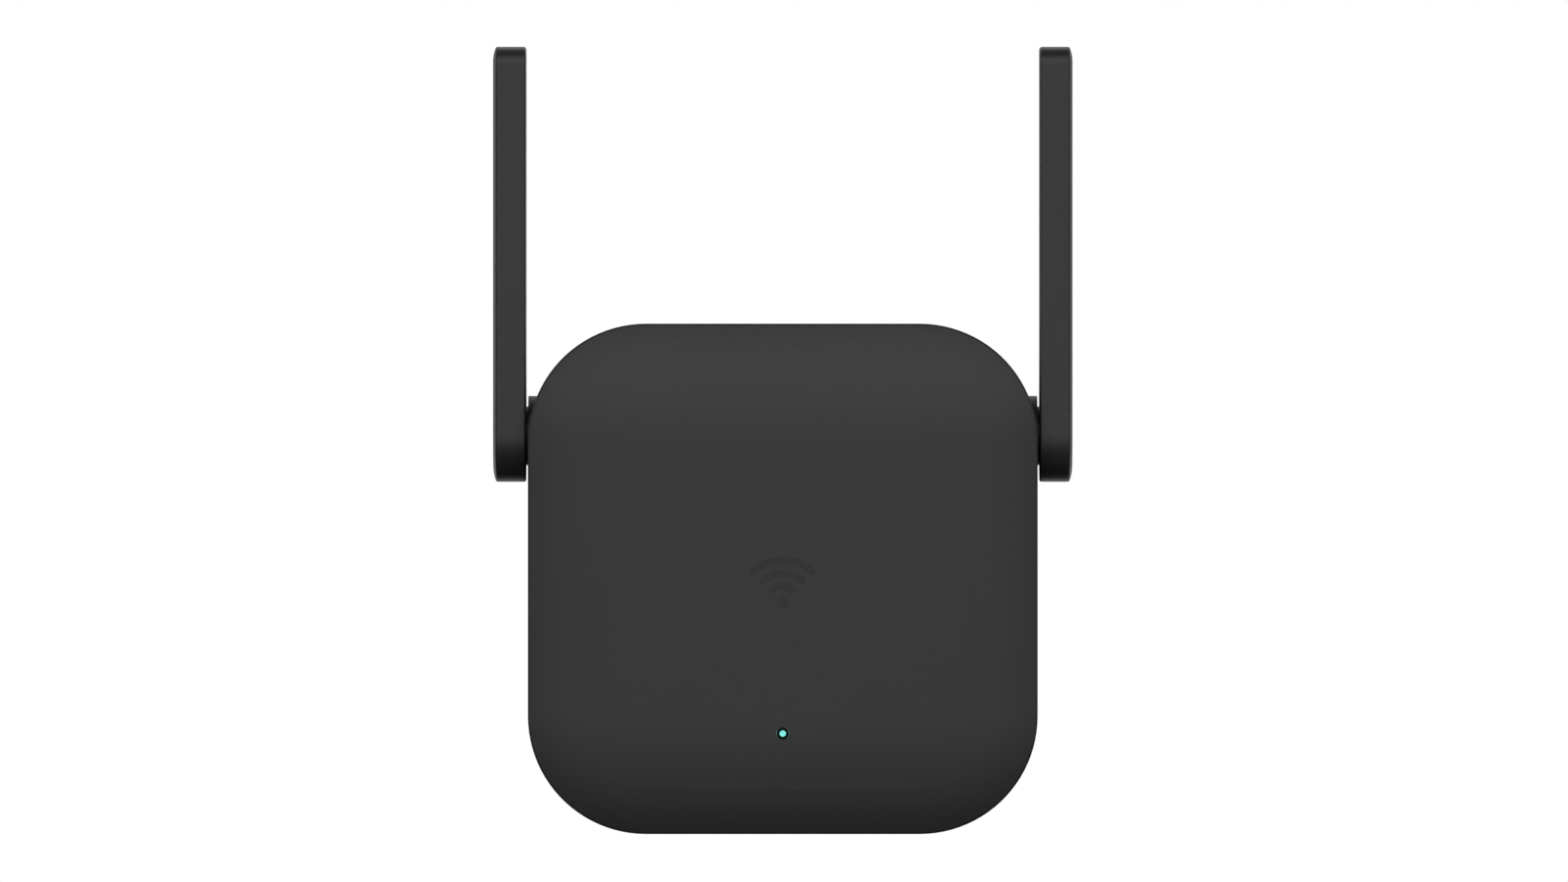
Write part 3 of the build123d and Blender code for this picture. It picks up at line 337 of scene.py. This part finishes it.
def erodedPlastic(name, tone, rough, grain, depth):
    mat = newFinish(name)
    pitScale = 1 / (eroded["pitPitch"] * grain)
    pits = addNode(
        mat, "TexVoronoi", {"Vector": place(mat), "Scale": pitScale}, feature="SMOOTH_F1"
    ).outputs["Distance"]
    heights = calc(
        mat, "ADD", noise(mat, grain, rough=0.6), calc(mat, "MULTIPLY", pits, eroded["pitShare"])
    )
    drift, polish = eroded["drift"], eroded["polishDrift"]
    clouds = noise(mat, eroded["driftPatch"], detail=2)
    return setShader(mat, {
        "Base Color": tint(mat, clouds, grey(tone * (1 - drift)), grey(tone * (1 + drift))),
        "Roughness": spread(mat, noise(mat, eroded["polishPatch"]), rough - polish, rough + polish),
        "Normal": bump(mat, heights, depth),
        "IOR": eroded["index"],
    })


# Plastic, lacquer and gel without a moulded grain
smooth = {
    "drift": 0.06,  # of the colour, either way
    "driftPatch": 4 * mm,
    "roughDrift": (-0.03, 0.04),
    "roughPatch": 0.9 * mm,
    "bumpPatch": 0.5 * mm,
    "index": 1.5,
}
# colour and roughness, and where they aren't the usual ones, bump depth and shine
smoothPlastics = {
    "plug_plastic": (grey(0.012), 0.42),
    "sleeve_plastic": (grey(0.010), 0.35),
    "dark_ring": (grey(0.003), 0.5, 0.002 * mm, 0.12),
    "lead_jacket": (grey(0.02), 0.4),
    "chip_epoxy": (grey(0.015), 0.6),
    "thermal_gel": ((0.22, 0.36, 0.55), 0.7),
    "white_plastic": ((0.72, 0.71, 0.66), 0.45),
    "led_epoxy": ((0.80, 0.84, 0.72), 0.25),
    "sheet_film": ((0.70, 0.48, 0.12), 0.25),
    "ferrite": (grey(0.05), 0.65, 0.01 * mm),
}


def smoothPlastic(name, color, rough, depth=0.002 * mm, shine=0.5):
    mat = newFinish(name)
    clouds = noise(mat, smooth["driftPatch"])
    smoother, rougher = (rough + drift for drift in smooth["roughDrift"])
    return setShader(mat, {
        "Specular IOR Level": shine,
        "Base Color": tint(
            mat, clouds, darker(color, smooth["drift"]), lighter(color, smooth["drift"])
        ),
        "Roughness": spread(mat, noise(mat, smooth["roughPatch"]), smoother, rougher),
        "Normal": bump(mat, noise(mat, smooth["bumpPatch"]), depth),
        "IOR": smooth["index"],
    })


# Bare and plated metal, with the fine unevenness of stamping and tumbling
stamped = {
    "patch": 0.35 * mm,
    "shade": (0.08, 0.04),  # darker and lighter, as shares of the colour
    "roughDrift": (-0.05, 0.07),
    "depth": 0.001 * mm,
}
# colour and roughness
metals = {
    "strip_metal": ((0.72, 0.55, 0.26), 0.30),
    "copper": ((0.80, 0.42, 0.26), 0.3),
    "bright_steel": ((0.56, 0.56, 0.55), 0.28),
    "screw_steel": ((0.40, 0.40, 0.41), 0.35),
    "tin_plate": ((0.62, 0.62, 0.60), 0.32),
    "gold_plate": ((0.85, 0.62, 0.25), 0.25),
}


def metal(name, color, rough):
    mat = newFinish(name)
    uneven = noise(mat, stamped["patch"], detail=4)
    down, up = stamped["shade"]
    smoother, rougher = (rough + drift for drift in stamped["roughDrift"])
    return setShader(mat, {
        "Base Color": tint(mat, uneven, darker(color, down), lighter(color, up)),
        "Roughness": spread(mat, uneven, smoother, rougher),
        "Normal": bump(mat, uneven, stamped["depth"]),
        "Metallic": 1.0,
    })


# Frosted end of the light pipe
lightTip = {
    "frost": 0.25 * mm,
    "body": ((0.03, 0.20, 0.18), (0.05, 0.28, 0.25)),
    "glow": ((0.10, 0.60, 0.54), (0.24, 0.80, 0.74)),
    "strength": 1.0,
    "rough": 0.35,
}


def litTip(name):
    mat = newFinish(name)
    frost = noise(mat, lightTip["frost"], detail=2)
    return setShader(mat, {
        "Base Color": tint(mat, frost, *lightTip["body"]),
        "Roughness": lightTip["rough"],
        "Emission Color": tint(mat, frost, *lightTip["glow"]),
        "Emission Strength": lightTip["strength"],
    })


# Bare tinned wire legs on coated parts
tinnedWire = {
    "drawn": 0.3 * mm,
    "stretch": (1, 1, 0.2),
    "colors": ((0.56, 0.56, 0.54), (0.70, 0.70, 0.67)),
    "rough": 0.3,
}


def wireMetal(mat, mask, coat, rough, normal):
    # tinned wire where the mask is one, and the coat elsewhere
    drawn = noise(mat, tinnedWire["drawn"], stretch=tinnedWire["stretch"])
    return setShader(mat, {
        "Base Color": paint(mat, mask, coat, tint(mat, drawn, *tinnedWire["colors"])),
        "Roughness": level(mat, mask, rough, tinnedWire["rough"]),
        "Metallic": mask,
        "Normal": normal,
        "IOR": 1.5,
    })


# Printed circuit boards: traces in blocks that run one way or the other, under the solder mask
board = {
    "block": 5.0 * mm,  # patch of traces that run the same way
    "tracePitch": 0.7 * mm,
    "traceShare": 0.42,
    "tracedShare": 0.72,  # of the blocks
    "viaPitch": 4.4 * mm,
    "viaColor": (0.60, 0.52, 0.36),
    "viaMetal": 0.8,
    "weavePitch": 0.5 * mm,
    "weaveDepth": 0.002 * mm,
    "maskDepth": 0.06 * mm,  # the print on the two faces, over the bare core
    "maskPatch": 6 * mm,
    "maskDrift": 0.12,
    "core": (0.30, 0.29, 0.15),
    "roughPatch": 1.2 * mm,
    "rough": (0.28, 0.4),
}
greenMask = (0.012, 0.085, 0.035)
antennaPrint = {
    "mask": greenMask,
    "trace": (0.018, 0.10, 0.04),
    "across": (1, 2),  # the coordinates that lie in the board
    "copperHeight": 0.01 * mm,
    "viaRadius": 0,
}
boardPrints = {
    "logic_board": {
        "mask": greenMask,
        "trace": (0.03, 0.16, 0.06),
        "across": (0, 2),
        "copperHeight": 0.03 * mm,
        "viaRadius": 0.24 * mm,
    },
    "power_board": {
        "mask": (0.44, 0.34, 0.15),
        "trace": (0.33, 0.22, 0.08),
        "across": (0, 2),
        "copperHeight": 0.02 * mm,
        "viaRadius": 0,
    },
    "left_antenna_board": antennaPrint,
    "right_antenna_board": antennaPrint,
}


def circuitBoard(name, node):
    mat = newFinish(name)
    printed = boardPrints[node]
    coords = axes(mat)
    first, second = (coords[k] for k in printed["across"])
    through = 3 - sum(printed["across"])  # the third coordinate
    low, high = (corner[through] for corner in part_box(node))
    fromMiddle = apart(mat, coords[through], (low + high) / 2)
    onFace = beyond(mat, fromMiddle, (high - low) / 2 - board["maskDepth"])

    flat = addNode(mat, "CombineXYZ", {0: first, 1: second, 2: 0.0}).outputs[0]
    cells = addNode(
        mat, "VectorMath", {0: flat, 1: (board["block"],) * 3}, operation="SNAP"
    ).outputs[0]
    pick = addNode(
        mat, "TexWhiteNoise", {"Vector": cells}, noise_dimensions="3D"
    ).outputs["Value"]
    half, whole = board["tracedShare"] / 2, board["tracedShare"]
    upright = below(mat, pick, half)
    lying = both(mat, beyond(mat, pick, half), below(mat, pick, whole))
    pitch, share = board["tracePitch"], board["traceShare"]
    traces = either(
        mat,
        both(mat, upright, stripes(mat, first, pitch, share)),
        both(mat, lying, stripes(mat, second, pitch, share)),
    )
    viaPitch = board["viaPitch"]
    spots = addNode(
        mat, "TexVoronoi", {"Vector": flat, "Scale": 1 / viaPitch}, voronoi_dimensions="2D"
    ).outputs["Distance"]
    vias = below(mat, spots, printed["viaRadius"] / viaPitch)
    traces, vias = both(mat, traces, onFace), both(mat, vias, onFace)

    weave = calc(mat, "ADD", *(wave(mat, side, board["weavePitch"]) for side in (first, second)))
    maskColor, drift = printed["mask"], board["maskDrift"]
    masked = tint(mat, noise(mat, board["maskPatch"]), maskColor, lighter(maskColor, drift))
    covered = paint(mat, traces, paint(mat, onFace, board["core"], masked), printed["trace"])
    return setShader(mat, {
        "Base Color": paint(mat, vias, covered, board["viaColor"]),
        "Metallic": level(mat, vias, 0.0, board["viaMetal"]),
        "Roughness": spread(mat, noise(mat, board["roughPatch"]), *board["rough"]),
        "Normal": bump(
            mat, either(mat, traces, vias), printed["copperHeight"],
            under=bump(mat, weave, board["weaveDepth"]),
        ),
        "IOR": 1.5,
    })


# Rating label: a blank form with a printed frame and empty rules
labelForm = {
    "frameInset": 0.9 * mm,
    "line": 0.22 * mm,
    "ruleFrom": 2.9 * mm,  # below the label's top
    "rulePitch": 2.0 * mm,
    "column": 11.0 * mm,  # from the label's edge to the upright rule
    "ink": (0.012, 0.012, 0.013),
    "film": (0.34, 0.34, 0.345),
    "filmDrift": 0.05,
    "filmPatch": 5 * mm,
    "rough": (0.34, 0.44),
    "roughPatch": 0.6 * mm,
    "bumpPatch": 0.4 * mm,
    "bumpDepth": 0.003 * mm,
}


def blankLabel(name, node):
    mat = newFinish(name)
    low, high = corners(node)
    middle, half = (low + high) / 2, (high - low) / 2
    x, _, z = axes(mat)
    line, pitch = labelForm["line"], labelForm["rulePitch"]
    sides = (
        (apart(mat, x, middle.x), half.x - labelForm["frameInset"]),
        (apart(mat, z, middle.z), half.z - labelForm["frameInset"]),
    )
    inFrame = both(mat, *(below(mat, side, limit + line / 2) for side, limit in sides))
    border = either(mat, *(near(mat, side, limit, line / 2) for side, limit in sides))
    down = calc(mat, "SUBTRACT", high.z - labelForm["ruleFrom"], z)
    rules = both(mat, stripes(mat, down, pitch, line / pitch), beyond(mat, down, 0))
    column = near(mat, x, high.x - labelForm["column"], line / 2)
    inked = both(mat, inFrame, either(mat, border, rules, column))
    film, drift = labelForm["film"], labelForm["filmDrift"]
    sheet = tint(mat, noise(mat, labelForm["filmPatch"]), darker(film, drift), lighter(film, drift))
    return setShader(mat, {
        "Base Color": paint(mat, inked, sheet, labelForm["ink"]),
        "Roughness": spread(mat, noise(mat, labelForm["roughPatch"]), *labelForm["rough"]),
        "Normal": bump(mat, noise(mat, labelForm["bumpPatch"]), labelForm["bumpDepth"]),
        "IOR": 1.5,
    })


# Plug pins: bright plate with lengthwise drag marks, from being plugged in
pinPlate = {
    "colors": ((0.68, 0.66, 0.61), (0.76, 0.74, 0.69)),
    "rubbed": (0.52, 0.47, 0.38),
    "rough": (0.2, 0.42),  # bright and rubbed
    "drag": 0.22 * mm,
    "stretch": (1, 0.05, 1),
    "dragShare": (0.45, 0.62),  # where in the marks' noise the rubbing starts and is full
    "depth": 0.0015 * mm,
}


def platedPins(name, node):
    mat = newFinish(name)
    low, high = corners(node)
    used = spread(mat, axes(mat)[1], 0.0, 1.0, start=(low.y + high.y) / 2, end=high.y)
    drag = noise(mat, pinPlate["drag"], detail=4, rough=0.7, stretch=pinPlate["stretch"])
    rubbed = both(mat, used, spread(mat, drag, 0.0, 1.0, *pinPlate["dragShare"]))
    plate = tint(mat, drag, *pinPlate["colors"])
    return setShader(mat, {
        "Base Color": paint(mat, rubbed, plate, pinPlate["rubbed"]),
        "Roughness": level(mat, rubbed, *pinPlate["rough"]),
        "Metallic": 1.0,
        "Normal": bump(mat, drag, pinPlate["depth"]),
    })


# Shrunk film round a capacitor's can, with the pale stripe that marks one leg's side
can = {
    "radius": 4.0 * mm,
    "length": 11.5 * mm,
    "legsAbove": ("output_capacitor",),  # the others have theirs below
    "film": (0.012, 0.022, 0.075),
    "rough": 0.26,
    "stripe": (0.50, 0.53, 0.56),
    "stripeWidth": 1.5 * mm,
    "stripeAside": 0.5,  # from the can's middle, as a share of its radius
    "dashWidth": 0.45 * mm,
    "dashPitch": 2.6 * mm,
    "dashShare": 0.4,
    "plateRadius": 3.2 * mm,  # the bare top inside the film's edge
    "plateDepth": 0.12 * mm,
    "legGap": 0.1 * mm,  # from the can's end to where the bare legs start
    "foldPatch": 1.6 * mm,
    "foldStretch": (1, 1, 0.25),
    "foldDepth": 0.02 * mm,
}


def sleevedCan(name, node):
    mat = newFinish(name)
    low, high = corners(node)
    radius, legsAbove = can["radius"], node in can["legsAbove"]
    x, y, z = axes(mat)
    middles = sorted({round(low.x + radius, 5), round(high.x - radius, 5)})
    across = apart(mat, x, middles[0])
    for middle in middles[1:]:
        across = calc(mat, "MINIMUM", across, apart(mat, x, middle))
    beside = [middle + can["stripeAside"] * radius for middle in middles]
    facing = below(mat, y, low.y + radius)
    stripe = both(
        mat, facing, either(mat, *(near(mat, x, s, can["stripeWidth"] / 2) for s in beside))
    )
    dash = both(
        mat, stripes(mat, z, can["dashPitch"], can["dashShare"]),
        either(mat, *(near(mat, x, s, can["dashWidth"] / 2) for s in beside)),
    )
    pale = both(mat, stripe, calc(mat, "SUBTRACT", 1.0, dash))
    top = near(mat, z, low.z if legsAbove else high.z, can["plateDepth"])
    depth = calc(mat, "SUBTRACT", y, low.y + radius)
    away = calc(mat, "SQRT", calc(mat, "ADD", squared(mat, across), squared(mat, depth)))
    plate = both(mat, top, below(mat, away, can["plateRadius"]))
    reach = can["length"] + can["legGap"]
    legs = beyond(mat, z, low.z + reach) if legsAbove else below(mat, z, high.z - reach)
    folds = noise(mat, can["foldPatch"], detail=2, stretch=can["foldStretch"])
    return wireMetal(
        mat, either(mat, plate, legs), paint(mat, pale, can["film"], can["stripe"]),
        can["rough"], bump(mat, folds, can["foldDepth"]),
    )


# Fusible resistor: bands in the coat's lacquer
resistor = {
    "coat": ((0.09, 0.24, 0.30), (0.11, 0.28, 0.34)),
    "coatPatch": 1.5 * mm,
    "rough": 0.38,
    "bands": ((0.30, 0.16, 0.02), (0.01,) * 3, (0.01,) * 3, (0.62, 0.46, 0.12)),
    "bandPitch": 1.5 * mm,
    "bandReach": 0.38 * mm,  # half of its width
    "firstBand": -1.6,  # from the middle, in pitches
    "lastBandShift": 0.5,
    "bodyReach": 4.02 * mm,  # from the middle to where the legs start
    "bumpPatch": 1.1 * mm,
    "bumpDepth": 0.02 * mm,
}


def bandedResistor(name, node):
    mat = newFinish(name)
    low, high = corners(node)
    z = axes(mat)[2]
    middle = (low.z + high.z) / 2
    spots = [resistor["firstBand"] + n for n in range(len(resistor["bands"]))]
    spots[-1] += resistor["lastBandShift"]
    coat = tint(mat, noise(mat, resistor["coatPatch"]), *resistor["coat"])
    for spot, color in zip(spots, resistor["bands"]):
        bandMiddle = middle + spot * resistor["bandPitch"]
        coat = paint(mat, near(mat, z, bandMiddle, resistor["bandReach"]), coat, color)
    legs = beyond(mat, apart(mat, z, middle), resistor["bodyReach"])
    ripple = bump(mat, noise(mat, resistor["bumpPatch"]), resistor["bumpDepth"])
    return wireMetal(mat, legs, coat, resistor["rough"], ripple)


# Safety capacitor: a dipped coat, thick and uneven, that runs down onto the legs
disc = {
    "dip": ((0.03, 0.12, 0.46), (0.05, 0.16, 0.56)),
    "dipPatch": 2.2 * mm,
    "rough": 0.3,
    "coatDepth": 7.6 * mm,  # from its front to where the legs show
    "run": (-0.3 * mm, 0.5 * mm),
    "runPatch": 1.2 * mm,
    "bumpPatch": 0.9 * mm,
    "bumpDepth": 0.03 * mm,
}


def dippedDisc(name, node):
    mat = newFinish(name)
    low, _ = corners(node)
    run = spread(mat, noise(mat, disc["runPatch"]), *disc["run"])
    legs = beyond(mat, calc(mat, "ADD", axes(mat)[1], run), low.y + disc["coatDepth"])
    dip = tint(mat, noise(mat, disc["dipPatch"]), *disc["dip"])
    ripple = bump(mat, noise(mat, disc["bumpPatch"]), disc["bumpDepth"])
    return wireMetal(mat, legs, dip, disc["rough"], ripple)


# Transformer's winding: polyester tape in several wraps, with the edge of the last one showing
tape = {
    "colors": ((0.74, 0.50, 0.03), (0.86, 0.62, 0.05)),
    "colorPatch": 1.4 * mm,
    "seam": (0.52, 0.33, 0.02),
    "lastWrap": (0.80, 0.57, 0.04),
    "wrapPitch": 1.9 * mm,
    "wrapShare": 0.94,
    "slant": 0.04,
    "lastWrapReach": 3.1 * mm,  # in from the side
    "rough": (0.24, 0.36),
    "roughPatch": 0.8 * mm,
    "stepHeight": 0.04 * mm,
    "bumpPatch": 1.0 * mm,
    "bumpDepth": 0.03 * mm,
}


def tapedCoil(name, node):
    mat = newFinish(name)
    _, high = corners(node)
    x, _, z = axes(mat)
    slanted = calc(mat, "ADD", z, calc(mat, "MULTIPLY", x, tape["slant"]))
    wraps = stripes(mat, slanted, tape["wrapPitch"], tape["wrapShare"])
    edge = beyond(mat, x, high.x - tape["lastWrapReach"])
    film = tint(mat, noise(mat, tape["colorPatch"]), *tape["colors"])
    seamed = paint(mat, wraps, tape["seam"], film)
    ripple = bump(mat, noise(mat, tape["bumpPatch"]), tape["bumpDepth"])
    return setShader(mat, {
        "Base Color": paint(mat, both(mat, edge, wraps), seamed, tape["lastWrap"]),
        "Roughness": spread(mat, noise(mat, tape["roughPatch"]), *tape["rough"]),
        "Normal": bump(mat, calc(mat, "ADD", wraps, edge), tape["stepHeight"], under=ripple),
        "IOR": 1.5,
    })


# Choke coils: turns of enamelled wire lying side by side, with painted shade darkening the gaps
# between turns
enamelledWire = {
    "color": (0.62, 0.24, 0.10),
    # painted shade: the share by which the colour darkens in the gaps between turns
    "gapShade": 0.7,
    "along": 1,  # the axis that the turns lie along
    "pitch": 0.28 * mm,
    "roundness": 0.5,  # height of a turn, in pitches
    "rough": (0.24, 0.34),
    "roughPatch": 0.5 * mm,
    "metal": 0.85,
}


def woundWire(name, _):
    mat = newFinish(name)
    pitch, color = enamelledWire["pitch"], enamelledWire["color"]
    turns = calc(mat, "ABSOLUTE", wave(mat, axes(mat)[enamelledWire["along"]], 2 * pitch))
    return setShader(mat, {
        # painted shade: the colour darkens in the gaps between turns and is full on their crests
        "Base Color": tint(mat, turns, darker(color, enamelledWire["gapShade"]), color, 0.1, 0.6),
        "Roughness": spread(mat, noise(mat, enamelledWire["roughPatch"]), *enamelledWire["rough"]),
        "Metallic": enamelledWire["metal"],
        "Normal": bump(mat, turns, pitch * enamelledWire["roundness"]),
    })


# Small chip parts with tinned ends. Half is half of a chip's length, and end of its cap's.
chips = {
    "resistor": {"color": grey(0.02), "rough": 0.4, "half": 0.8 * mm, "end": 0.3 * mm},
    "capacitor": {"color": (0.33, 0.22, 0.13), "rough": 0.5, "half": 0.7 * mm, "end": 0.28 * mm},
    "capacitorPitch": 1.9 * mm,  # down their column
    "drift": 0.1,
    "driftPatch": 0.8 * mm,
    "bumpPatch": 0.25 * mm,
    "bumpDepth": 0.004 * mm,
}


def chipEnds(mat, value, middle, chip):
    return near(mat, apart(mat, value, middle), chip["half"], chip["end"])


def cappedChips(mat, ends, chip):
    color, drift = chip["color"], chips["drift"]
    body = tint(mat, noise(mat, chips["driftPatch"]), darker(color, drift), lighter(color, drift))
    ripple = bump(mat, noise(mat, chips["bumpPatch"]), chips["bumpDepth"])
    return wireMetal(mat, ends, body, chip["rough"], ripple)


def cappedResistors(name, node):
    # in two columns, lying across
    mat = newFinish(name)
    low, high = corners(node)
    chip, x = chips["resistor"], axes(mat)[0]
    middles = low.x + chip["half"], high.x - chip["half"]
    ends = either(mat, *(chipEnds(mat, x, middle, chip) for middle in middles))
    return cappedChips(mat, ends, chip)


def cappedCapacitors(name, node):
    # upright, in one column and a row below it
    mat = newFinish(name)
    low, high = corners(node)
    chip, z, pitch = chips["capacitor"], axes(mat)[2], chips["capacitorPitch"]
    row = chipEnds(mat, z, low.z + chip["half"], chip)
    down = inPitch(mat, calc(mat, "SUBTRACT", high.z, z), pitch)
    column = chipEnds(mat, calc(mat, "MULTIPLY", down, pitch), chip["half"], chip)
    upper = beyond(mat, z, low.z + 3 * chip["half"])
    return cappedChips(mat, either(mat, both(mat, upper, column), row), chip)


# Chips in moulded epoxy, with a shallow dimple at the first pin's corner
epoxy = {
    "tones": (0.012, 0.022),
    "grain": 0.12 * mm,
    "grainDepth": 0.006 * mm,
    "rough": (0.62, 0.3),  # the epoxy and the dimple
    "dimpleInset": 0.2,  # of the chip's shorter side
    "dimpleRadius": 0.45,  # of the inset
    "dimpleDepth": 0.05 * mm,
}


def markedChip(name, node):
    mat = newFinish(name)
    low, high = corners(node)
    x, _, z = axes(mat)
    inset = min(high.x - low.x, high.z - low.z) * epoxy["dimpleInset"]
    away = [calc(mat, "SUBTRACT", x, low.x + inset), calc(mat, "SUBTRACT", z, high.z - inset)]
    squares = calc(mat, "ADD", *(squared(mat, side) for side in away))
    dimple = below(mat, squares, (inset * epoxy["dimpleRadius"]) ** 2)
    grain = noise(mat, epoxy["grain"], detail=4)
    return setShader(mat, {
        "Base Color": tint(mat, grain, *(grey(tone) for tone in epoxy["tones"])),
        "Roughness": level(mat, dimple, *epoxy["rough"]),
        "Normal": bump(
            mat, dimple, -epoxy["dimpleDepth"], under=bump(mat, grain, epoxy["grainDepth"])
        ),
        "IOR": 1.5,
    })


# Nodes whose pattern follows their own shape. The others take their slot's finish.
nodeFinishes = {
    "plug_pins": platedPins,
    "rating_label": blankLabel,
    "logic_board": circuitBoard,
    "power_board": circuitBoard,
    "left_antenna_board": circuitBoard,
    "right_antenna_board": circuitBoard,
    "input_capacitors": sleevedCan,
    "output_capacitor": sleevedCan,
    "fuse_resistor": bandedResistor,
    "safety_capacitor": dippedDisc,
    "transformer_winding": tapedCoil,
    "choke_coils": woundWire,
    "chip_resistors": cappedResistors,
    "chip_capacitors": cappedCapacitors,
    "wifi_chip": markedChip,
    "flash_chip": markedChip,
    "power_chip": markedChip,
    "bridge_rectifier": markedChip,
    "output_diode": markedChip,
}


def makeSlotFinishes():
    made = {"clear_light": litTip("clear_light")}
    for build, kinds in (
        (erodedPlastic, erodedPlastics), (smoothPlastic, smoothPlastics), (metal, metals),
    ):
        for slot, values in kinds.items():
            made[slot] = build(slot, *values)
    return made


def finishNodes():
    slotFinishes = makeSlotFinishes()
    parts = frame["record"]["subparts"]
    for part in parts:
        node = part["node"]
        own = nodeFinishes.get(node)
        mesh = nodes[node].data
        mesh.materials.clear()
        mesh.materials.append(
            own(node + "_finish", node) if own else slotFinishes[part["material_slot"]]
        )
    print("finished", len(parts), "nodes,", len(nodeFinishes), "in their own pattern")


# A plain signal mark, printed on the middle of the front: a dot under three arcs
emblem = {
    "middle": (0.0, -0.5 * mm),  # across and up
    "dotRadius": 0.95 * mm,
    "dotSegments": 48,
    "stroke": 1.1 * mm,
    "gap": 0.95 * mm,
    "arcs": 3,
    "arcSteps": 28,
    "spanDegrees": 98.0,
    "endRound": 0.46,  # of the stroke
    "endSegments": 5,
    "proud": 0.03 * mm,
    "sunk": 0.02 * mm,
    "tone": 0.009,
    "roughness": 0.42,
    "shine": 0.42,
}


def standing(edge, depth):
    # an edge that goes through the print's thickness
    return abs(edge.verts[0].co.z - edge.verts[1].co.z) > depth / 2


def markArc(bm, inner, outer, depth):
    # a short flat bar, spun about the dot, with round ends
    span = math.radians(emblem["spanDegrees"])
    bar = bmesh.ops.create_grid(bm, x_segments=1, y_segments=1, size=0.5)
    size = Matrix.Diagonal((outer - inner, 1, depth, 1))
    stand = Matrix.Rotation(math.radians(90), 4, "X")
    shift = Matrix.Translation(((inner + outer) / 2, 0, depth / 2))
    start = Matrix.Rotation(math.radians(90) - span / 2, 4, "Z")
    bmesh.ops.transform(bm, matrix=start @ shift @ size @ stand, verts=bar["verts"])
    face = bar["verts"][0].link_faces[0]
    ends = [e for e in face.edges if standing(e, depth)]
    spun = bmesh.ops.spin(
        bm, geom=[face, *face.edges, *face.verts], cent=(0, 0, 0), axis=(0, 0, 1),
        angle=span, steps=emblem["arcSteps"], use_merge=False, use_duplicate=False,
    )
    last = [item for item in spun["geom_last"] if isinstance(item, bmesh.types.BMEdge)]
    ends += [e for e in last if standing(e, depth)]
    bmesh.ops.bevel(
        bm, geom=ends, affect="EDGES", offset=(outer - inner) * emblem["endRound"],
        segments=emblem["endSegments"], profile=0.5, material=-1, clamp_overlap=False,
    )


def makeEmblem():
    bm = bmesh.new()
    depth = emblem["proud"] + emblem["sunk"]
    dot = bmesh.ops.create_circle(
        bm, cap_ends=True, segments=emblem["dotSegments"], radius=emblem["dotRadius"]
    )
    top = bmesh.ops.extrude_face_region(bm, geom=dot["verts"][0].link_faces[:])
    raised = [item for item in top["geom"] if isinstance(item, bmesh.types.BMVert)]
    bmesh.ops.translate(bm, verts=raised, vec=(0, 0, depth))
    outer = emblem["dotRadius"]
    for _ in range(emblem["arcs"]):
        inner = outer + emblem["gap"]
        outer = inner + emblem["stroke"]
        markArc(bm, inner, outer, depth)
    bmesh.ops.recalc_face_normals(bm, faces=bm.faces)
    across, up = emblem["middle"]
    low = up - (outer - emblem["dotRadius"]) / 2
    upright = Matrix.Rotation(math.radians(90), 4, "X")
    spot = Matrix.Translation((across, coverLow.y + emblem["sunk"], low))
    bmesh.ops.transform(bm, matrix=spot @ upright, verts=bm.verts)
    mark = meshObject("front_emblem", bm)
    mark.data.materials.append(smoothPlastic(
        "emblemInk", grey(emblem["tone"]), emblem["roughness"], shine=emblem["shine"]
    ))
    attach(mark, "casing")
    print("emblem printed:", len(mark.data.polygons), "faces")


makeCamera()
makeBackdrop()
makeFloor()
for softboxName, settings in softboxes.items():
    makeSoftbox(softboxName, *settings)
bpy.context.scene.view_settings.view_transform = "Standard"
print("studio ready:", len(softboxes), "softboxes")

finishNodes()
makeEmblem()
